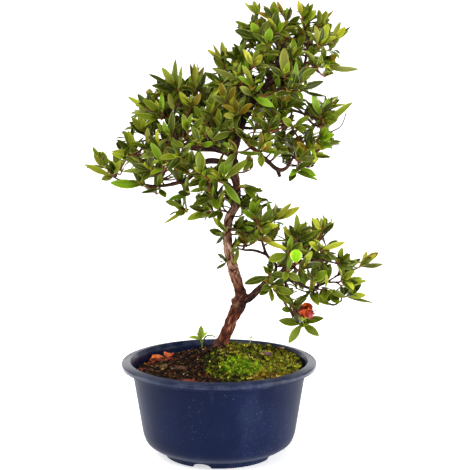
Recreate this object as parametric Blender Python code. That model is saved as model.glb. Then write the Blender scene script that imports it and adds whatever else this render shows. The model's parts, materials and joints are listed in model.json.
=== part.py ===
"""A satsuki azalea trained as a small bonsai, in its round plastic training pot.

Metres, +Z up. The pot stands on z = 0, and the origin is under the middle of the whole plant.
"""
import math
import random

import bmesh
import bpy
from mathutils import Matrix, Quaternion, Vector
from mathutils.bvhtree import BVHTree

MM = 0.001
# The running gap between pieces that lie against each other
GAP = 0.35 * MM

# Pot: radius and height in mm, from the middle underneath round to the middle of its floor inside
POT_PROFILE = [
    (0, 5.5), (49.5, 5.5), (50.6, 0), (55.6, 0), (57, 5.0), (58.4, 6.4), (66.5, 8.9), (75.0, 14.6),
    (78.2, 23), (88.9, 89.3), (95.2, 89.8), (95.9, 92.2), (99.3, 92.4), (100, 95.8), (99.4, 97.2),
    (91.0, 98.9), (88.4, 94.6), (86.9, 88), (76.2, 24), (66.5, 13.2), (57, 9.4), (50, 8), (0, 8),
]
POT_SEGMENTS = 28
# Arches through the foot ring, each cut by a lying drum: its length, half width and height
FOOT_MIDDLE = 53.2 * MM
ARCH_COUNT = 4
ARCH_FIRST = math.radians(-108.0)
ARCH_SIZE = (16.5 * MM, 10.0 * MM, 4.5 * MM)
ARCH_SEGMENTS = 12
DRAIN_COUNT = 5
DRAIN_RADIUS = 5.0 * MM
DRAIN_CIRCLE = 32.0 * MM
DRAIN_CUT_TOP = 13.0 * MM
DRAIN_SEGMENTS = 8

# The pot's middle lies left of the whole plant's middle by this much
POT_OFFSET = 15.2 * MM

# Soil, in mm: the block's side as radius and height, and the radii of its top's rings
SOIL_SIDE = [(0, 8.35), (49, 8.35), (65.8, 13.7), (75.6, 25), (85.9, 84.5)]
SOIL_RINGS = [85.9, 72, 58, 44, 31, 18, 0]
SOIL_SEGMENTS = 28
# Its relief, in mm: the level, a slope, low waves, and mounds as middle, rise and spread
SOIL_LEVEL = 90.0
SOIL_SLOPE = 0.03
WAVE_RISE = 0.9
WAVE_RATES = (0.21, 0.19)
WAVE_STARTS = (1.3, -0.4)
MOUNDS = [((2, 34), 15.5, 31), ((62, 46), 6.5, 27)]
SOCKET_TOP = 120.0 * MM
TRUNK_SOCKET_RADIUS = 9.6 * MM
TRUNK_SOCKET_DEPTH = 24.0 * MM
SEEDLING_SOCKET_RADIUS = 1.3 * MM
SEEDLING_SOCKET_DEPTH = 8.0 * MM

# Moss: a flat spread with a cushion raised in it, kept clear of the pot's wall and of the trunk
MOSS_MIDDLE = (36.0 * MM, -14.0 * MM)
MOSS_HALF_SIZES = (56.0 * MM, 76.0 * MM)
MOSS_THICK = 2.4 * MM
MOSS_SEGMENTS = 20
CUSHION_THICK = 4.6 * MM
CUSHION_PLACE = (22.0 * MM, -24.0 * MM)
CUSHION_SPREAD = 20.0 * MM
WALL_LIMIT = 84.0 * MM
TRUNK_CLEAR = 13.0 * MM
# Loose chips of bark and old leaf: middle, half sizes, thickness and turn
CHIPS = {
    "bark_stick": ((-77.0 * MM, 2.0 * MM), (8.0 * MM, 3.2 * MM), 3.4 * MM, 0.3),
    "leaf_chip_left": ((-65.0 * MM, 46.0 * MM), (7.4 * MM, 6.2 * MM), 8.0 * MM, 0.9),
    "leaf_chip_back": ((-53.0 * MM, 54.0 * MM), (7.6 * MM, 4.4 * MM), 5.4 * MM, -0.3),
    "bark_chip_front": ((-29.0 * MM, -62.0 * MM), (10.0 * MM, 4.2 * MM), 2.6 * MM, 0.15),
    "bark_chip_middle": ((-38.0 * MM, -8.0 * MM), (7.5 * MM, 4.6 * MM), 3.0 * MM, -0.6),
}
CHIP_SEGMENTS = 8
# How ragged a patch's edge is, and how far its underside is sunk before the soil is cut away from it
RAGGED_EDGE = (0.88, 1.06)
PATCH_SINK = 4.0 * MM

# Seedling: where it stands and reaches, and its leaves, as across, up, out and width, in mm
SEEDLING_PLACE = (-18.0 * MM, 45.0 * MM)
SEEDLING_TOP = (-18, 124, 45)
SEEDLING_STEM_RADIUS = 0.7 * MM
SEEDLING_LEAVES = [(0, 16, 4, 6.6), (8, 9, 5, 5.0), (-13, 3, 5, 5.4), (-4, 8, -3, 4.0)]

# The front view that the plant is laid out in: a plane of true size, square to the sight line
EYE = Vector((16.3, -1700.0, 523.0))
SIGHT_DROP = math.radians(9.83)
SIGHT_LENGTH = 1705.0
VIEW_MIDDLE = (16.0, 229.0)
VIEW_RIGHT = Vector((1.0, 0.0, 0.0))
VIEW_UP = Vector((0.0, math.sin(SIGHT_DROP), math.cos(SIGHT_DROP)))
VIEW_OUT = Vector((0.0, -math.cos(SIGHT_DROP), math.sin(SIGHT_DROP)))

# Wood: side, height and depth in the front view and radius, all in mm
LIMBS = {
    "trunk": [
        (1.5, 116, 31, 8.6), (3.6, 122, 30.5, 7.3), (6.5, 129, 29, 6.1), (10.0, 137, 28, 5.8),
        (13, 145, 27, 6.1), (17.3, 154, 25, 6.9), (20.6, 161, 24, 7.4), (22, 169, 22.5, 6.3),
        (20.3, 176, 22, 5.6), (17, 186, 20, 5.6), (14, 197, 19, 5.7), (10.3, 211, 17, 5.0),
        (8.5, 226, 15, 4.6), (9, 241, 13, 4.5),
        (13, 251, 11.5, 4.5), (17, 259, 10.5, 4.4), (18, 274, 9, 4.1), (15, 292, 7, 4.6),
        (14, 311, 5, 5.0), (21, 336, 3, 4.1), (31, 356, 1, 3.4), (43, 374, 0, 2.8),
        (56, 384, -2, 2.1), (68, 387, -4, 1.4),
    ],
    "top": [(43, 374, 0, 2.0), (52, 388, 2, 2.1), (57, 400, 0, 1.8), (64, 418, -4, 1.4), (70, 428, -6, 1.0)],
    "top_right": [
        (50, 380, -1, 1.6), (71, 385, 4, 1.8), (84, 396, 6, 1.6), (88, 414, 4, 1.3), (91, 432, 2, 0.9),
    ],
    "top_left": [(31, 356, 1, 2.0), (27, 374, 4, 1.7), (22, 390, 4, 1.4), (10, 400, 2, 1.0)],
    "left_high": [
        (14, 309, 5, 3.0), (-4, 315, 2, 3.2), (-19, 315, -2, 2.8), (-34, 318, -6, 2.4),
        (-44, 328, -8, 1.9), (-45, 346, -6, 1.5), (-42, 362, -4, 1.0),
    ],
    "left_out": [(-34, 318, -6, 1.4), (-52, 322, 0, 1.5), (-69, 324, 2, 1.3), (-80, 322, 0, 0.9)],
    "left_low": [
        (15, 300, 6, 2.8), (-11, 303, 0, 3.0), (-24, 292, -4, 2.6), (-33, 284, -8, 2.3),
        (-46, 280, -10, 2.0), (-59, 278, -11, 1.7), (-76, 279, -10, 1.4), (-96, 283, -7, 1.1),
        (-108, 288, -5, 0.9),
    ],
    "right_mid": [(43, 374, 0, 1.8), (60, 358, 4, 1.8), (80, 352, 4, 1.5), (95, 346, 0, 1.1)],
    "right_low": [
        (20, 331, 3, 2.3), (34, 316, 0, 2.3), (46, 305, -2, 2.2), (58, 295, -4, 2.3),
        (66, 295, -5, 2.0), (72, 303, -6, 1.5), (77, 313, -8, 1.0),
    ],
    "fork": [
        (22, 162, 23, 4.4), (31, 166.5, 19, 3.9), (41, 176, 14, 3.2), (51, 185, 8, 3.0),
        (61, 191, 2, 2.7), (73, 198, -2, 2.1), (84, 203, -4, 1.7), (101, 204, -5, 1.4), (116, 201, -4, 1.0),
    ],
    "fork_up": [
        (53, 186, 7, 1.9), (57, 198, 7, 1.8), (48, 209, 5, 1.6), (43, 223, 2, 1.4), (38, 238, -2, 1.0),
    ],
    "fork_inner": [(48, 209, 5, 1.5), (36, 213.5, 3, 1.5), (26, 214, 0, 1.2), (19, 215.5, -2, 0.9)],
    "fork_high": [(73, 198, -2, 1.2), (84, 213, 2, 1.3), (80, 222, 0, 1.0)],
    "fork_right": [
        (61, 191, 2, 1.6), (81, 180, 0, 1.7), (92, 176, -1, 1.5), (106, 181, -2, 1.3), (116, 187, -3, 0.9),
    ],
    "fork_down": [(66, 188, 0, 1.2), (68, 170, 2, 1.4), (76, 156, 0, 1.2), (82, 146, -2, 0.9)],
    "back_left": [(14, 305, 5, 1.9), (-2, 316, 20, 1.8), (-22, 324, 34, 1.5), (-42, 330, 42, 1.0)],
    "back_top": [(33, 359, 1, 1.8), (30, 368, 18, 1.7), (36, 382, 32, 1.4), (46, 398, 40, 0.9)],
    "back_right": [(21, 336, 3, 1.8), (38, 336, 20, 1.7), (58, 338, 34, 1.4), (76, 344, 42, 0.9)],
    "front_left": [(5, 312, 3, 1.7), (-8, 318, -14, 1.6), (-22, 324, -28, 1.3), (-34, 326, -38, 0.9)],
    "front_top": [(46, 377, 0, 1.6), (50, 381, -16, 1.4), (58, 388, -28, 0.9)],
    "front_mid": [(18, 270, 9, 1.6), (10, 280, -8, 1.5), (4, 281, -28, 1.0)],
    "fork_back": [(61, 191, 2, 1.6), (68, 200, 18, 1.5), (80, 206, 32, 1.2), (94, 208, 40, 0.9)],
    "fork_out": [(88, 177, -1, 1.0), (103, 165, 0, 1.2), (114, 159, 0, 1.1), (122, 163, -2, 0.8)],
}
LIMB_SIDES = {"trunk": 9, "fork": 7, "left_high": 6, "left_low": 6}
THIN_LIMB_SIDES = 5
FOOT_DROP = 20.0 * MM
# Twigs leave the wood at these parts of each stretch, but not from the trunk's lowest stations
SAMPLE_PARTS = (0.0, 0.33, 0.67)
BARE_STATIONS = 9

# Leaves, in mm: length, width, thickness at the rib, and bend as a part of the length
LEAF_LENGTHS = (18.0, 25.0)
LEAF_WIDTH = 8.2
LEAF_WIDEST = 10.0
SEEN_WIDTH = 7.0
LEAF_SLENDER = (0.30, 0.36)
LEAF_RIB_THICK = 1.2
LEAF_CURL = 0.10
# Along the blade and width there, as parts of the whole: root, two rings and tip
LEAF_STATIONS = {0: (0.0, 0.0), 1: (0.42, 0.92), 3: (0.74, 0.84), 4: (1.0, 0.0)}
# A leaf that isn't clear of the others is turned and shortened a little more at each try
LEAF_TRIES = 26
LEAF_TURN = 0.045
LEAF_SHRINK = 0.012
LEAF_ROOM = (0.5, 1.0, 0.9)
FREE_PART = 0.35
# Leaves stand back from a twig's tip, in mm: the first by the start, each other by one pitch more
LEAF_START = 0.4
LEAF_PITCH = 2.0
# The added leaves: the turn from each to the next, how loose it is, and their spread from the twig
ADDED_TURN = 137.5
ADDED_LOOSE = 20.0
ADDED_SPREAD = (42.0, 78.0)

# Twigs: radii, spacing on the wood, and how their paths are looked for
TWIG_ROOT_RADIUS = 1.0 * MM
TWIG_TIP_RADIUS = 0.65 * MM
TWIG_ROOM = 0.4 * MM
TWIG_SPACING = 4.0 * MM
TWIG_STEP = 2.5 * MM
TWIG_SAG = 0.06
KNOT_PART = 0.45
NEAREST_PLACES = 26
PATH_TRIES = 8
PATH_SWAY = 1.6 * MM
LEAST_ALONG = 0.25
LEAST_ONWARD = 0.3

# Each spray: how many shoots the rule adds behind it, then its shoots. A shoot has its side, height
# and depth in the front view, and the leaves that the front shows there: how far across and up each
# one reaches, and its seen width where that isn't the usual one. All in mm.
SPRAYS = {
    "left_tip": (1, [
        (-114, 296, -4, [(-12, 21, 5), (-11, 13), (-2, 16), (-6, 16, 5)]),
        (-106, 288, -16, [(-28, 11), (-4, 16, 4), (-1, 14), (9, 15), (-11, -4)]),
        (-92, 306, -14, [(-15, 4, 6)]),
    ]),
    "left_low_leaf": (1, [
        (-75, 279, -24, [(-33, 2, 10), (-10, 12)]),
        (-59, 276, -26, [(-16, -5, 4), (6, -10)]),
    ]),
    "left_low": (1, [
        (-69, 294, -34, [(-17, 5), (-27, -2, 6), (-7, -11)]),
        (-54, 298, -42, [(-14, 23, 8), (14, 10)]),
    ]),
    "left_edge": (1, [
        (-86, 309, -12, [(-20, 3), (-16, 15), (-10, 24, 6), (-5, 24)]),
        (-69, 316, -14, [(-18, 4, 6)]),
    ]),
    "left_shoulder": (1, [
        (-74, 331, -6, [(-13, 15), (-7, 16, 5), (-2, 13), (-14, 7), (6, 14)]),
    ]),
    "left_peak": (1, [
        (-71, 354, 4, [(-21, 14, 6), (-18, -3, 4), (-11, 17), (0, 18)]),
        (-56, 350, -10, [(-20, 14, 8)]),
        (-58, 345, -12, [(-26, 4, 7)]),
    ]),
    "left_crown": (1, [
        (-43, 376, -4, [(0, 28, 6), (-14, 20, 8), (-27, 13, 5), (-24, 2), (6, 22, 5)]),
    ]),
    "left_young": (1, [
        (-22, 374, 8, [(-7, 26, 5), (-3, 27, 5), (1, 28, 5), (7, 24, 6)]),
    ]),
    "left_heart": (1, [
        (-48, 326, -40, [(2, 26), (-14, 14), (12, -10)]),
        (-30, 332, -48, [(-5, 12, 8), (14, 14)]),
        (-38, 306, -46, [(-16, 10), (10, 14), (-12, -12)]),
    ]),
    "left_high": (1, [
        (-13, 342, -26, [(7, 30, 8), (-12, 16)]),
        (0, 335, -24, [(-1, 20), (14, 8)]),
        (-19, 319, -48, [(13, 1, 6), (-8, 18)]),
    ]),
    "left_back": (1, [
        (-28, 356, -14, [(-12, 16), (10, 14)]),
        (-58, 312, -20, [(-12, 16), (-20, -6)]),
    ]),
    "front_rosette": (0, [
        (4, 284, -42, [(24, 20, 8), (17, -24, 8), (0, 18), (-16, 4, 5)]),
        (-18, 290, -48, [(-1, 22, 10)]),
        (-14, 286, -36, [(-5, -12), (-18, -8)]),
    ]),
    "low_left": (1, [
        (-29, 270, -16, [(-21, -6, 6), (-12, 1)]),
        (-32, 252, -8, [(-11, 6), (-11, -3), (-23, -12, 4)]),
    ]),
    "low_mid": (1, [
        (-12, 253, -14, [(-20, -9, 8), (-18, 5)]),
        (-7, 268, -24, [(-19, -9), (6, -14, 8)]),
        (2, 254, -18, [(-12, -9), (-1, -12)]),
    ]),
    "trunk_twig": (0, [
        (24, 277, -6, [(14, -13, 5), (20, -4, 5)]),
    ]),
    "top_left_tip": (1, [
        (36, 450, 0, [(-11, 11, 4), (-2, 13, 4), (5, 12, 4)]),
        (33, 436, -6, [(-17, 5, 5)]),
        (39, 426, -16, [(-23, 7, 9), (-7, 14, 9)]),
        (48, 418, -26, [(3, 17, 9), (-12, -4)]),
    ]),
    "top_mid": (1, [
        (56, 431, -12, [(1, 21, 9), (9, 8)]),
        (54, 447, 0, [(1, 15, 8), (-10, 8), (-16, 2)]),
        (68, 443, 6, [(-10, 19, 5), (0, 13), (4, 12, 4)]),
    ]),
    "top_pale": (1, [
        (83, 446, -2, [(-4, 17, 6), (1, 13, 5), (7, 15, 4), (11, 13, 7), (14, 6)]),
    ]),
    "top_right_tip": (0, [
        (102, 438, 6, [(-2, 12, 5), (5, 16, 6), (13, 16, 4)]),
    ]),
    "top_right": (1, [
        (99, 417, -16, [(10, 22, 10), (12, 11)]),
        (113, 421, 0, [(13, 15, 7), (9, 22, 5), (19, 17, 4)]),
    ]),
    "right_high": (1, [
        (106, 402, -8, [(-3, 15, 7), (11, 5, 8), (5, -11, 4)]),
        (107, 397, -8, [(32, -3, 7)]),
        (99, 396, -22, [(-16, -9, 8)]),
    ]),
    "mid_high": (1, [
        (78, 374, -28, [(26, 8, 8), (-1, 28, 6)]),
        (65, 387, -38, [(0, 28, 10), (-14, 10)]),
        (72, 406, -18, [(-1, 15, 4), (12, 10)]),
    ]),
    "top_inner": (1, [
        (35, 397, -28, [(-11, 17, 7), (8, 12)]),
        (44, 408, -18, [(-1, 20, 4)]),
        (19, 405, -8, [(-3, 12, 6), (-12, 4)]),
    ]),
    "inner_left": (1, [
        (35, 377, -38, [(-16, 9, 6), (-12, 21, 6), (10, 14)]),
        (21, 384, -26, [(-27, 10, 6), (-16, -6, 5)]),
    ]),
    "up_left": (1, [
        (4, 401, 0, [(-16, 14, 5), (-10, 19, 5), (-1, 22, 6), (3, 17, 5)]),
        (3, 378, -12, [(-14, 12, 6), (-14, -2)]),
    ]),
    "olive_mass": (1, [
        (7, 362, -34, [(-6, 18), (10, 14), (-14, 4)]),
        (19, 349, -42, [(-4, 16), (14, 10), (-14, -2)]),
    ]),
    "centre_bright": (1, [
        (33, 368, -48, [(21, -11, 8), (-12, 8)]),
        (69, 373, -42, [(11, -9), (-12, -6)]),
        (84, 373, -16, [(23, -6, 5)]),
    ]),
    "right_cluster": (1, [
        (102, 347, -14, [(-9, 22, 8), (-16, 16, 6), (12, 4, 6)]),
        (109, 353, -2, [(-3, 13, 5), (4, 14, 5), (10, 13, 4)]),
        (104, 338, -8, [(29, 23, 7)]),
    ]),
    "right_rosette": (1, [
        (99, 325, -20, [(8, 11), (16, 4, 8), (14, -9, 8), (5, -12), (22, -5, 4)]),
    ]),
    "right_inner": (1, [
        (75, 337, -30, [(-12, 8, 8), (12, -4)]),
        (89, 315, -24, [(2, 18, 6), (-12, 4)]),
        (50, 332, -36, [(10, 12), (-8, 10)]),
        (56, 344, -24, [(14, 8, 6)]),
    ]),
    "right_low": (1, [
        (77, 304, -18, [(20, 2, 7), (6, 14)]),
        (95, 309, -8, [(16, -3, 4)]),
        (76, 292, -12, [(23, -9, 5), (14, -3, 4), (-6, -10)]),
    ]),
    "trunk_front": (0, [
        (28, 325, -36, [(-12, 10), (12, -8)]),
        (16, 312, -44, [(26, -2, 5), (-10, -14)]),
        (42, 312, -34, [(0, -15, 8), (12, 10)]),
    ]),
    "canopy_left": (1, [
        (36, 246, -12, [(-4, 17, 8), (-13, 8)]),
        (41, 236, -24, [(12, 19, 10), (18, 2)]),
        (54, 243, -6, [(27, 14, 8), (19, 18, 6), (-6, 20, 6)]),
    ]),
    "canopy_mid": (1, [
        (41, 226, -30, [(12, -3), (28, -12, 6)]),
    ]),
    "trunk_side": (0, [
        (16, 236, -4, [(19, -1, 6), (10, 12)]),
        (6, 229, 2, [(-16, 5, 8), (-9, -8, 4)]),
    ]),
    "trunk_low": (0, [
        (7, 203, 4, [(-7, 6, 4), (-9, -8, 4), (10, 7, 6)]),
    ]),
    "canopy_top": (1, [
        (78, 226, -12, [(-1, 24, 7), (9, 16), (-8, 13), (-15, 11, 6), (23, 8, 6)]),
    ]),
    "canopy_top_right": (1, [
        (103, 234, 0, [(-11, 11), (-5, 12, 4), (-1, 14, 4), (5, 12, 5), (12, 6, 4)]),
    ]),
    "canopy_right": (1, [
        (101, 214, -16, [(25, 8, 6), (16, -10), (11, -12), (-12, 8)]),
    ]),
    "canopy_right_tip": (1, [
        (119, 202, -6, [(4, 15, 5), (12, 8, 5), (18, 0, 5), (12, -8, 5)]),
    ]),
    "far_right": (0, [
        (144, 199, 2, [(4, 14, 5), (13, 11, 5), (21, 1, 5)]),
    ]),
    "right_lower": (1, [
        (123, 184, -8, [(11, 9), (16, -3), (25, -1, 5), (13, -9)]),
    ]),
    "right_lowest": (0, [
        (131, 169, -4, [(2, 13), (11, 11, 6), (16, 0), (24, -8, 4)]),
        (112, 171, -8, [(6, -10, 9), (-5, -9, 6)]),
    ]),
    "low_mid_right": (1, [
        (107, 175, -18, [(19, -8, 6), (-2, -12)]),
        (92, 182, -28, [(16, 11, 10), (4, 18)]),
        (89, 171, -14, [(22, -12, 7), (10, -12, 5), (-10, -9, 5)]),
    ]),
    "canopy_front": (1, [
        (81, 194, -30, [(8, -10, 5)]),
        (67, 192, -36, [(14, -9, 8)]),
        (69, 211, -34, [(-20, -7, 10), (12, 10)]),
    ]),
    "fork_front": (1, [
        (50, 190, -24, [(17, -2, 8), (-6, 8, 5), (2, 10, 4), (-25, -10, 9)]),
        (52, 177, -16, [(22, -7, 9), (0, -14, 6), (-12, -8, 7)]),
        (56, 172, -14, [(13, -11, 6)]),
    ]),
    "lime_leaf": (0, [(77, 201, -54, [(0, 13, 12)])]),
    "spent_bloom": (0, [(87, 154, -14, [])]),
    "low_rosette": (1, [
        (84, 140, -8, [(-25, 4, 9), (-15, -19, 9), (16, -12, 9), (21, 6, 8), (-10, 6, 7)]),
        (74, 155, -6, [(-12, 0, 7), (3, 10, 4)]),
    ]),
    "inner_buds": (0, [
        (26, 219, -8, [(-7, 11, 4), (0, 13, 4), (7, 9, 4)]),
        (35, 221, -4, [(4, 10, 4), (-3, 9, 3)]),
        (18, 219, -6, [(-2, -19, 5), (4, 11, 5), (-6, -9, 4)]),
    ]),
}
# The shoots behind: where they may stand against the spray's middle, in mm, and their leaves
BACK_ACROSS = (-9.0, 9.0)
BACK_UP = (-12.0, 4.0)
BACK_DEPTH = (20.0, 56.0)
BACK_SHIFT = 0.35
BACK_LEAVES = 2
# Twigs that end in something else than a whorl of leaves: one round pale leaf and one old flower
LIME_LEAF = "lime_leaf"
LIME_LEAF_SIZE = (13.0, 12.0)
SPENT_BLOOM = "spent_bloom"
BLOOM_RADII = (7.4, 6.6, 7.8)
BLOOM_CRUMPLE = 0.16

LEAF_GREEN = (0.10, 0.22, 0.035)
BARK_BROWN = (0.17, 0.07, 0.045)


def seen(across, up, depth):
    """The place in metres that the front view shows at across and up, depth mm behind the pot's middle."""
    sideways = (across - VIEW_MIDDLE[0]) / SIGHT_LENGTH
    upwards = (up - VIEW_MIDDLE[1]) / SIGHT_LENGTH
    ray = VIEW_RIGHT * sideways + VIEW_UP * upwards - VIEW_OUT
    return (EYE + ray * ((depth - EYE.y) / ray.y)) * MM


def material(name, colour, roughness):
    made = bpy.data.materials.new(name)
    made.use_nodes = True
    shader = made.node_tree.nodes["Principled BSDF"]
    shader.inputs["Base Color"].default_value = (*colour, 1.0)
    shader.inputs["Roughness"].default_value = roughness
    shader.inputs["Metallic"].default_value = 0.0
    return made


def mesh_of(bm, name):
    bmesh.ops.recalc_face_normals(bm, faces=bm.faces)
    mesh = bpy.data.meshes.new(name)
    bm.to_mesh(mesh)
    bm.free()
    return mesh


def add_object(name, mesh, finish, smooth_angle=None):
    placed = bpy.data.objects.new(name, mesh)
    mesh.materials.clear()
    mesh.materials.append(finish)
    bpy.context.scene.collection.objects.link(placed)
    placed.parent = ORIGIN
    if smooth_angle is not None:
        mesh.shade_smooth()
        mesh.set_sharp_from_angle(angle=math.radians(smooth_angle))
    return placed


def applied(whole):
    evaluated = whole.evaluated_get(bpy.context.evaluated_depsgraph_get())
    return bpy.data.meshes.new_from_object(evaluated)


def is_closed(mesh):
    bm = bmesh.new()
    bm.from_mesh(mesh)
    closed = all(edge.is_manifold for edge in bm.edges)
    bm.free()
    return closed


def combined(name, base, others, operation):
    """One mesh: base joined with, or cut by, the other meshes."""
    collection = bpy.data.collections.new("being_joined")
    bpy.context.scene.collection.children.link(collection)
    whole = bpy.data.objects.new(name, base)
    bpy.context.scene.collection.objects.link(whole)
    for mesh in others:
        collection.objects.link(bpy.data.objects.new("piece", mesh))
    joining = whole.modifiers.new("join", "BOOLEAN")
    joining.operation = operation
    joining.operand_type = "COLLECTION"
    joining.collection = collection
    joining.solver = "EXACT"
    result = applied(whole)
    if not is_closed(result):
        joining.solver = "MANIFOLD"
        result = applied(whole)
    for piece in list(collection.objects):
        bpy.data.objects.remove(piece)
    bpy.data.collections.remove(collection)
    bpy.data.objects.remove(whole)
    result.name = name
    return result


def turned(profile, segments):
    """A bmesh of a closed profile, a list of radius and height in mm, turned round the vertical."""
    bm = bmesh.new()
    points = [bm.verts.new((radius * MM, 0.0, height * MM)) for radius, height in profile]
    edges = [bm.edges.new(pair) for pair in zip(points, points[1:])]
    bmesh.ops.spin(bm, geom=points + edges, axis=(0, 0, 1), cent=(0, 0, 0),
                   angle=2 * math.pi, steps=segments, use_merge=True)
    bmesh.ops.remove_doubles(bm, verts=bm.verts, dist=0.01 * MM)
    return bm


def cylinder(place, radius, low, high, segments=16):
    bm = bmesh.new()
    middle = Matrix.Translation((place[0], place[1], (low + high) / 2))
    bmesh.ops.create_cone(bm, cap_ends=True, segments=segments, radius1=radius, radius2=radius,
                          depth=high - low, matrix=middle)
    return mesh_of(bm, "cylinder")


def limb_bmesh(path, radii, sides):
    """A tapering round limb along a path, with flat ends."""
    bm = bmesh.new()
    heading = (path[1] - path[0]).normalized()
    frame = heading.to_track_quat("Z", "Y").to_matrix().to_4x4()
    ring = bmesh.ops.create_circle(bm, segments=sides, radius=radii[0],
                                   matrix=Matrix.Translation(path[0]) @ frame)["verts"]
    edges = list(bm.edges)
    for i in range(1, len(path)):
        before = path[i] - path[i - 1]
        ahead = path[i + 1] - path[i] if i + 1 < len(path) else before
        onward = (before.normalized() + ahead.normalized()).normalized()
        grown = bmesh.ops.extrude_edge_only(bm, edges=edges)["geom"]
        ring = [g for g in grown if isinstance(g, bmesh.types.BMVert)]
        edges = [g for g in grown if isinstance(g, bmesh.types.BMEdge)]
        turn = heading.rotation_difference(onward).to_matrix().to_4x4()
        size = Matrix.Scale(radii[i] / radii[i - 1], 4)
        move = Matrix.Translation(path[i]) @ turn @ size @ Matrix.Translation(-path[i - 1])
        bmesh.ops.transform(bm, matrix=move, verts=ring)
        heading = onward
    bmesh.ops.holes_fill(bm, edges=[e for e in bm.edges if e.is_boundary], sides=0)
    return bm


def blade_bmesh(frame, length, width, thick, start=0.0):
    """A keeled leaf blade in the frame of its root: X across, Y up from the face, Z along."""
    bm = bmesh.new()
    bmesh.ops.create_uvsphere(bm, u_segments=3, v_segments=3, radius=1.0)
    for vert in bm.verts:
        corner = round(math.atan2(vert.co.y, vert.co.x) / (2 * math.pi / 3)) % 3
        station = round((vert.co.z + 1) * 2)
        along = start + (1 - start) * LEAF_STATIONS[station][0]
        wide = LEAF_STATIONS[station][1]
        across = (0.5, -0.5, 0.0)[corner] * wide * width
        keel = (0.0, 0.0, -1.0)[corner] * wide * thick
        vert.co = frame @ Vector((across, keel - LEAF_CURL * length * along ** 2, along * length))
    return bm


def leaf_frame(root, direction, face):
    across = direction.cross(face).normalized() * -1
    upward = direction.cross(across).normalized() * -1
    if upward.dot(face) < 0:
        upward = -upward
    across = upward.cross(direction).normalized()
    frame = Matrix((across, upward, direction)).transposed().to_4x4()
    return Matrix.Translation(root) @ frame


def soil_height(x, y):
    """The soil's height: mounded round the trunk, low at the back left, with low waves."""
    across = x / MM
    back = y / MM
    waves = math.sin(across * WAVE_RATES[0] + WAVE_STARTS[0])
    waves *= math.cos(back * WAVE_RATES[1] + WAVE_STARTS[1])
    height = SOIL_LEVEL + SOIL_SLOPE * (across - back) + WAVE_RISE * waves
    for middle, rise, spread in MOUNDS:
        away = (across - middle[0]) ** 2 + (back - middle[1]) ** 2
        height += rise * math.exp(-away / (2 * spread ** 2))
    return height * MM


def make_pot():
    cutters = []
    lying = Matrix.Rotation(math.pi / 2, 4, "Y")
    for i in range(ARCH_COUNT):
        turn = Matrix.Rotation(ARCH_FIRST + i * 2 * math.pi / ARCH_COUNT, 4, "Z")
        outward = turn @ Matrix.Translation((FOOT_MIDDLE, 0, 0)) @ Matrix.Diagonal((*ARCH_SIZE, 1.0))
        bm = bmesh.new()
        bmesh.ops.create_cone(bm, cap_ends=True, segments=ARCH_SEGMENTS, radius1=1.0, radius2=1.0,
                              depth=1.0, matrix=outward @ lying)
        cutters.append(mesh_of(bm, "arch"))
    for i in range(DRAIN_COUNT):
        angle = i * 2 * math.pi / DRAIN_COUNT
        place = (DRAIN_CIRCLE * math.cos(angle), DRAIN_CIRCLE * math.sin(angle))
        cutters.append(cylinder(place, DRAIN_RADIUS, 0.0, DRAIN_CUT_TOP, DRAIN_SEGMENTS))
    body = mesh_of(turned(POT_PROFILE, POT_SEGMENTS), "pot")
    navy = material("navy_plastic", (0.018, 0.030, 0.090), 0.42)
    add_object("pot", combined("pot", body, cutters, "DIFFERENCE"), navy, 35)


def soil_bmesh():
    """The soil's block, which fills the pot to its wall with a running gap."""
    bm = turned(SOIL_SIDE + [(radius, SOIL_LEVEL) for radius in SOIL_RINGS], SOIL_SEGMENTS)
    for vert in bm.verts:
        if vert.co.z > SOIL_SIDE[-1][1] * MM + GAP:
            vert.co.z = soil_height(vert.co.x, vert.co.y)
    bmesh.ops.triangulate(bm, faces=bm.faces)
    return bm


def make_soil(trunk_foot, seedling_foot):
    trunk_floor = trunk_foot.z - TRUNK_SOCKET_DEPTH
    seedling_floor = seedling_foot.z - SEEDLING_SOCKET_DEPTH
    sockets = [
        cylinder(trunk_foot, TRUNK_SOCKET_RADIUS, trunk_floor, SOCKET_TOP),
        cylinder(seedling_foot, SEEDLING_SOCKET_RADIUS, seedling_floor, SOCKET_TOP, 8),
    ]
    soil = combined("soil", mesh_of(soil_bmesh(), "soil"), sockets, "DIFFERENCE")
    add_object("soil", soil, material("dark_soil", (0.045, 0.026, 0.016), 0.95))


def moss_thickness(x, y):
    from_middle = math.hypot(x - CUSHION_PLACE[0], y - CUSHION_PLACE[1]) / CUSHION_SPREAD
    return MOSS_THICK + CUSHION_THICK * math.exp(-from_middle ** 2)


def patch_reach(middle, heading, wanted, clear_of):
    """How far a patch spreads from its middle: within the pot's wall and short of the trunk."""
    ahead = middle.dot(heading)
    to_wall = -ahead + math.sqrt(ahead ** 2 + WALL_LIMIT ** 2 - middle.length_squared)
    reach = min(wanted, to_wall)
    if clear_of:
        offset = Vector(clear_of[:2]) - middle
        beside = offset.length_squared - offset.dot(heading) ** 2
        if offset.dot(heading) > 0 and beside < clear_of[2] ** 2:
            reach = min(reach, offset.dot(heading) - math.sqrt(clear_of[2] ** 2 - beside))
    return reach


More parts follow.
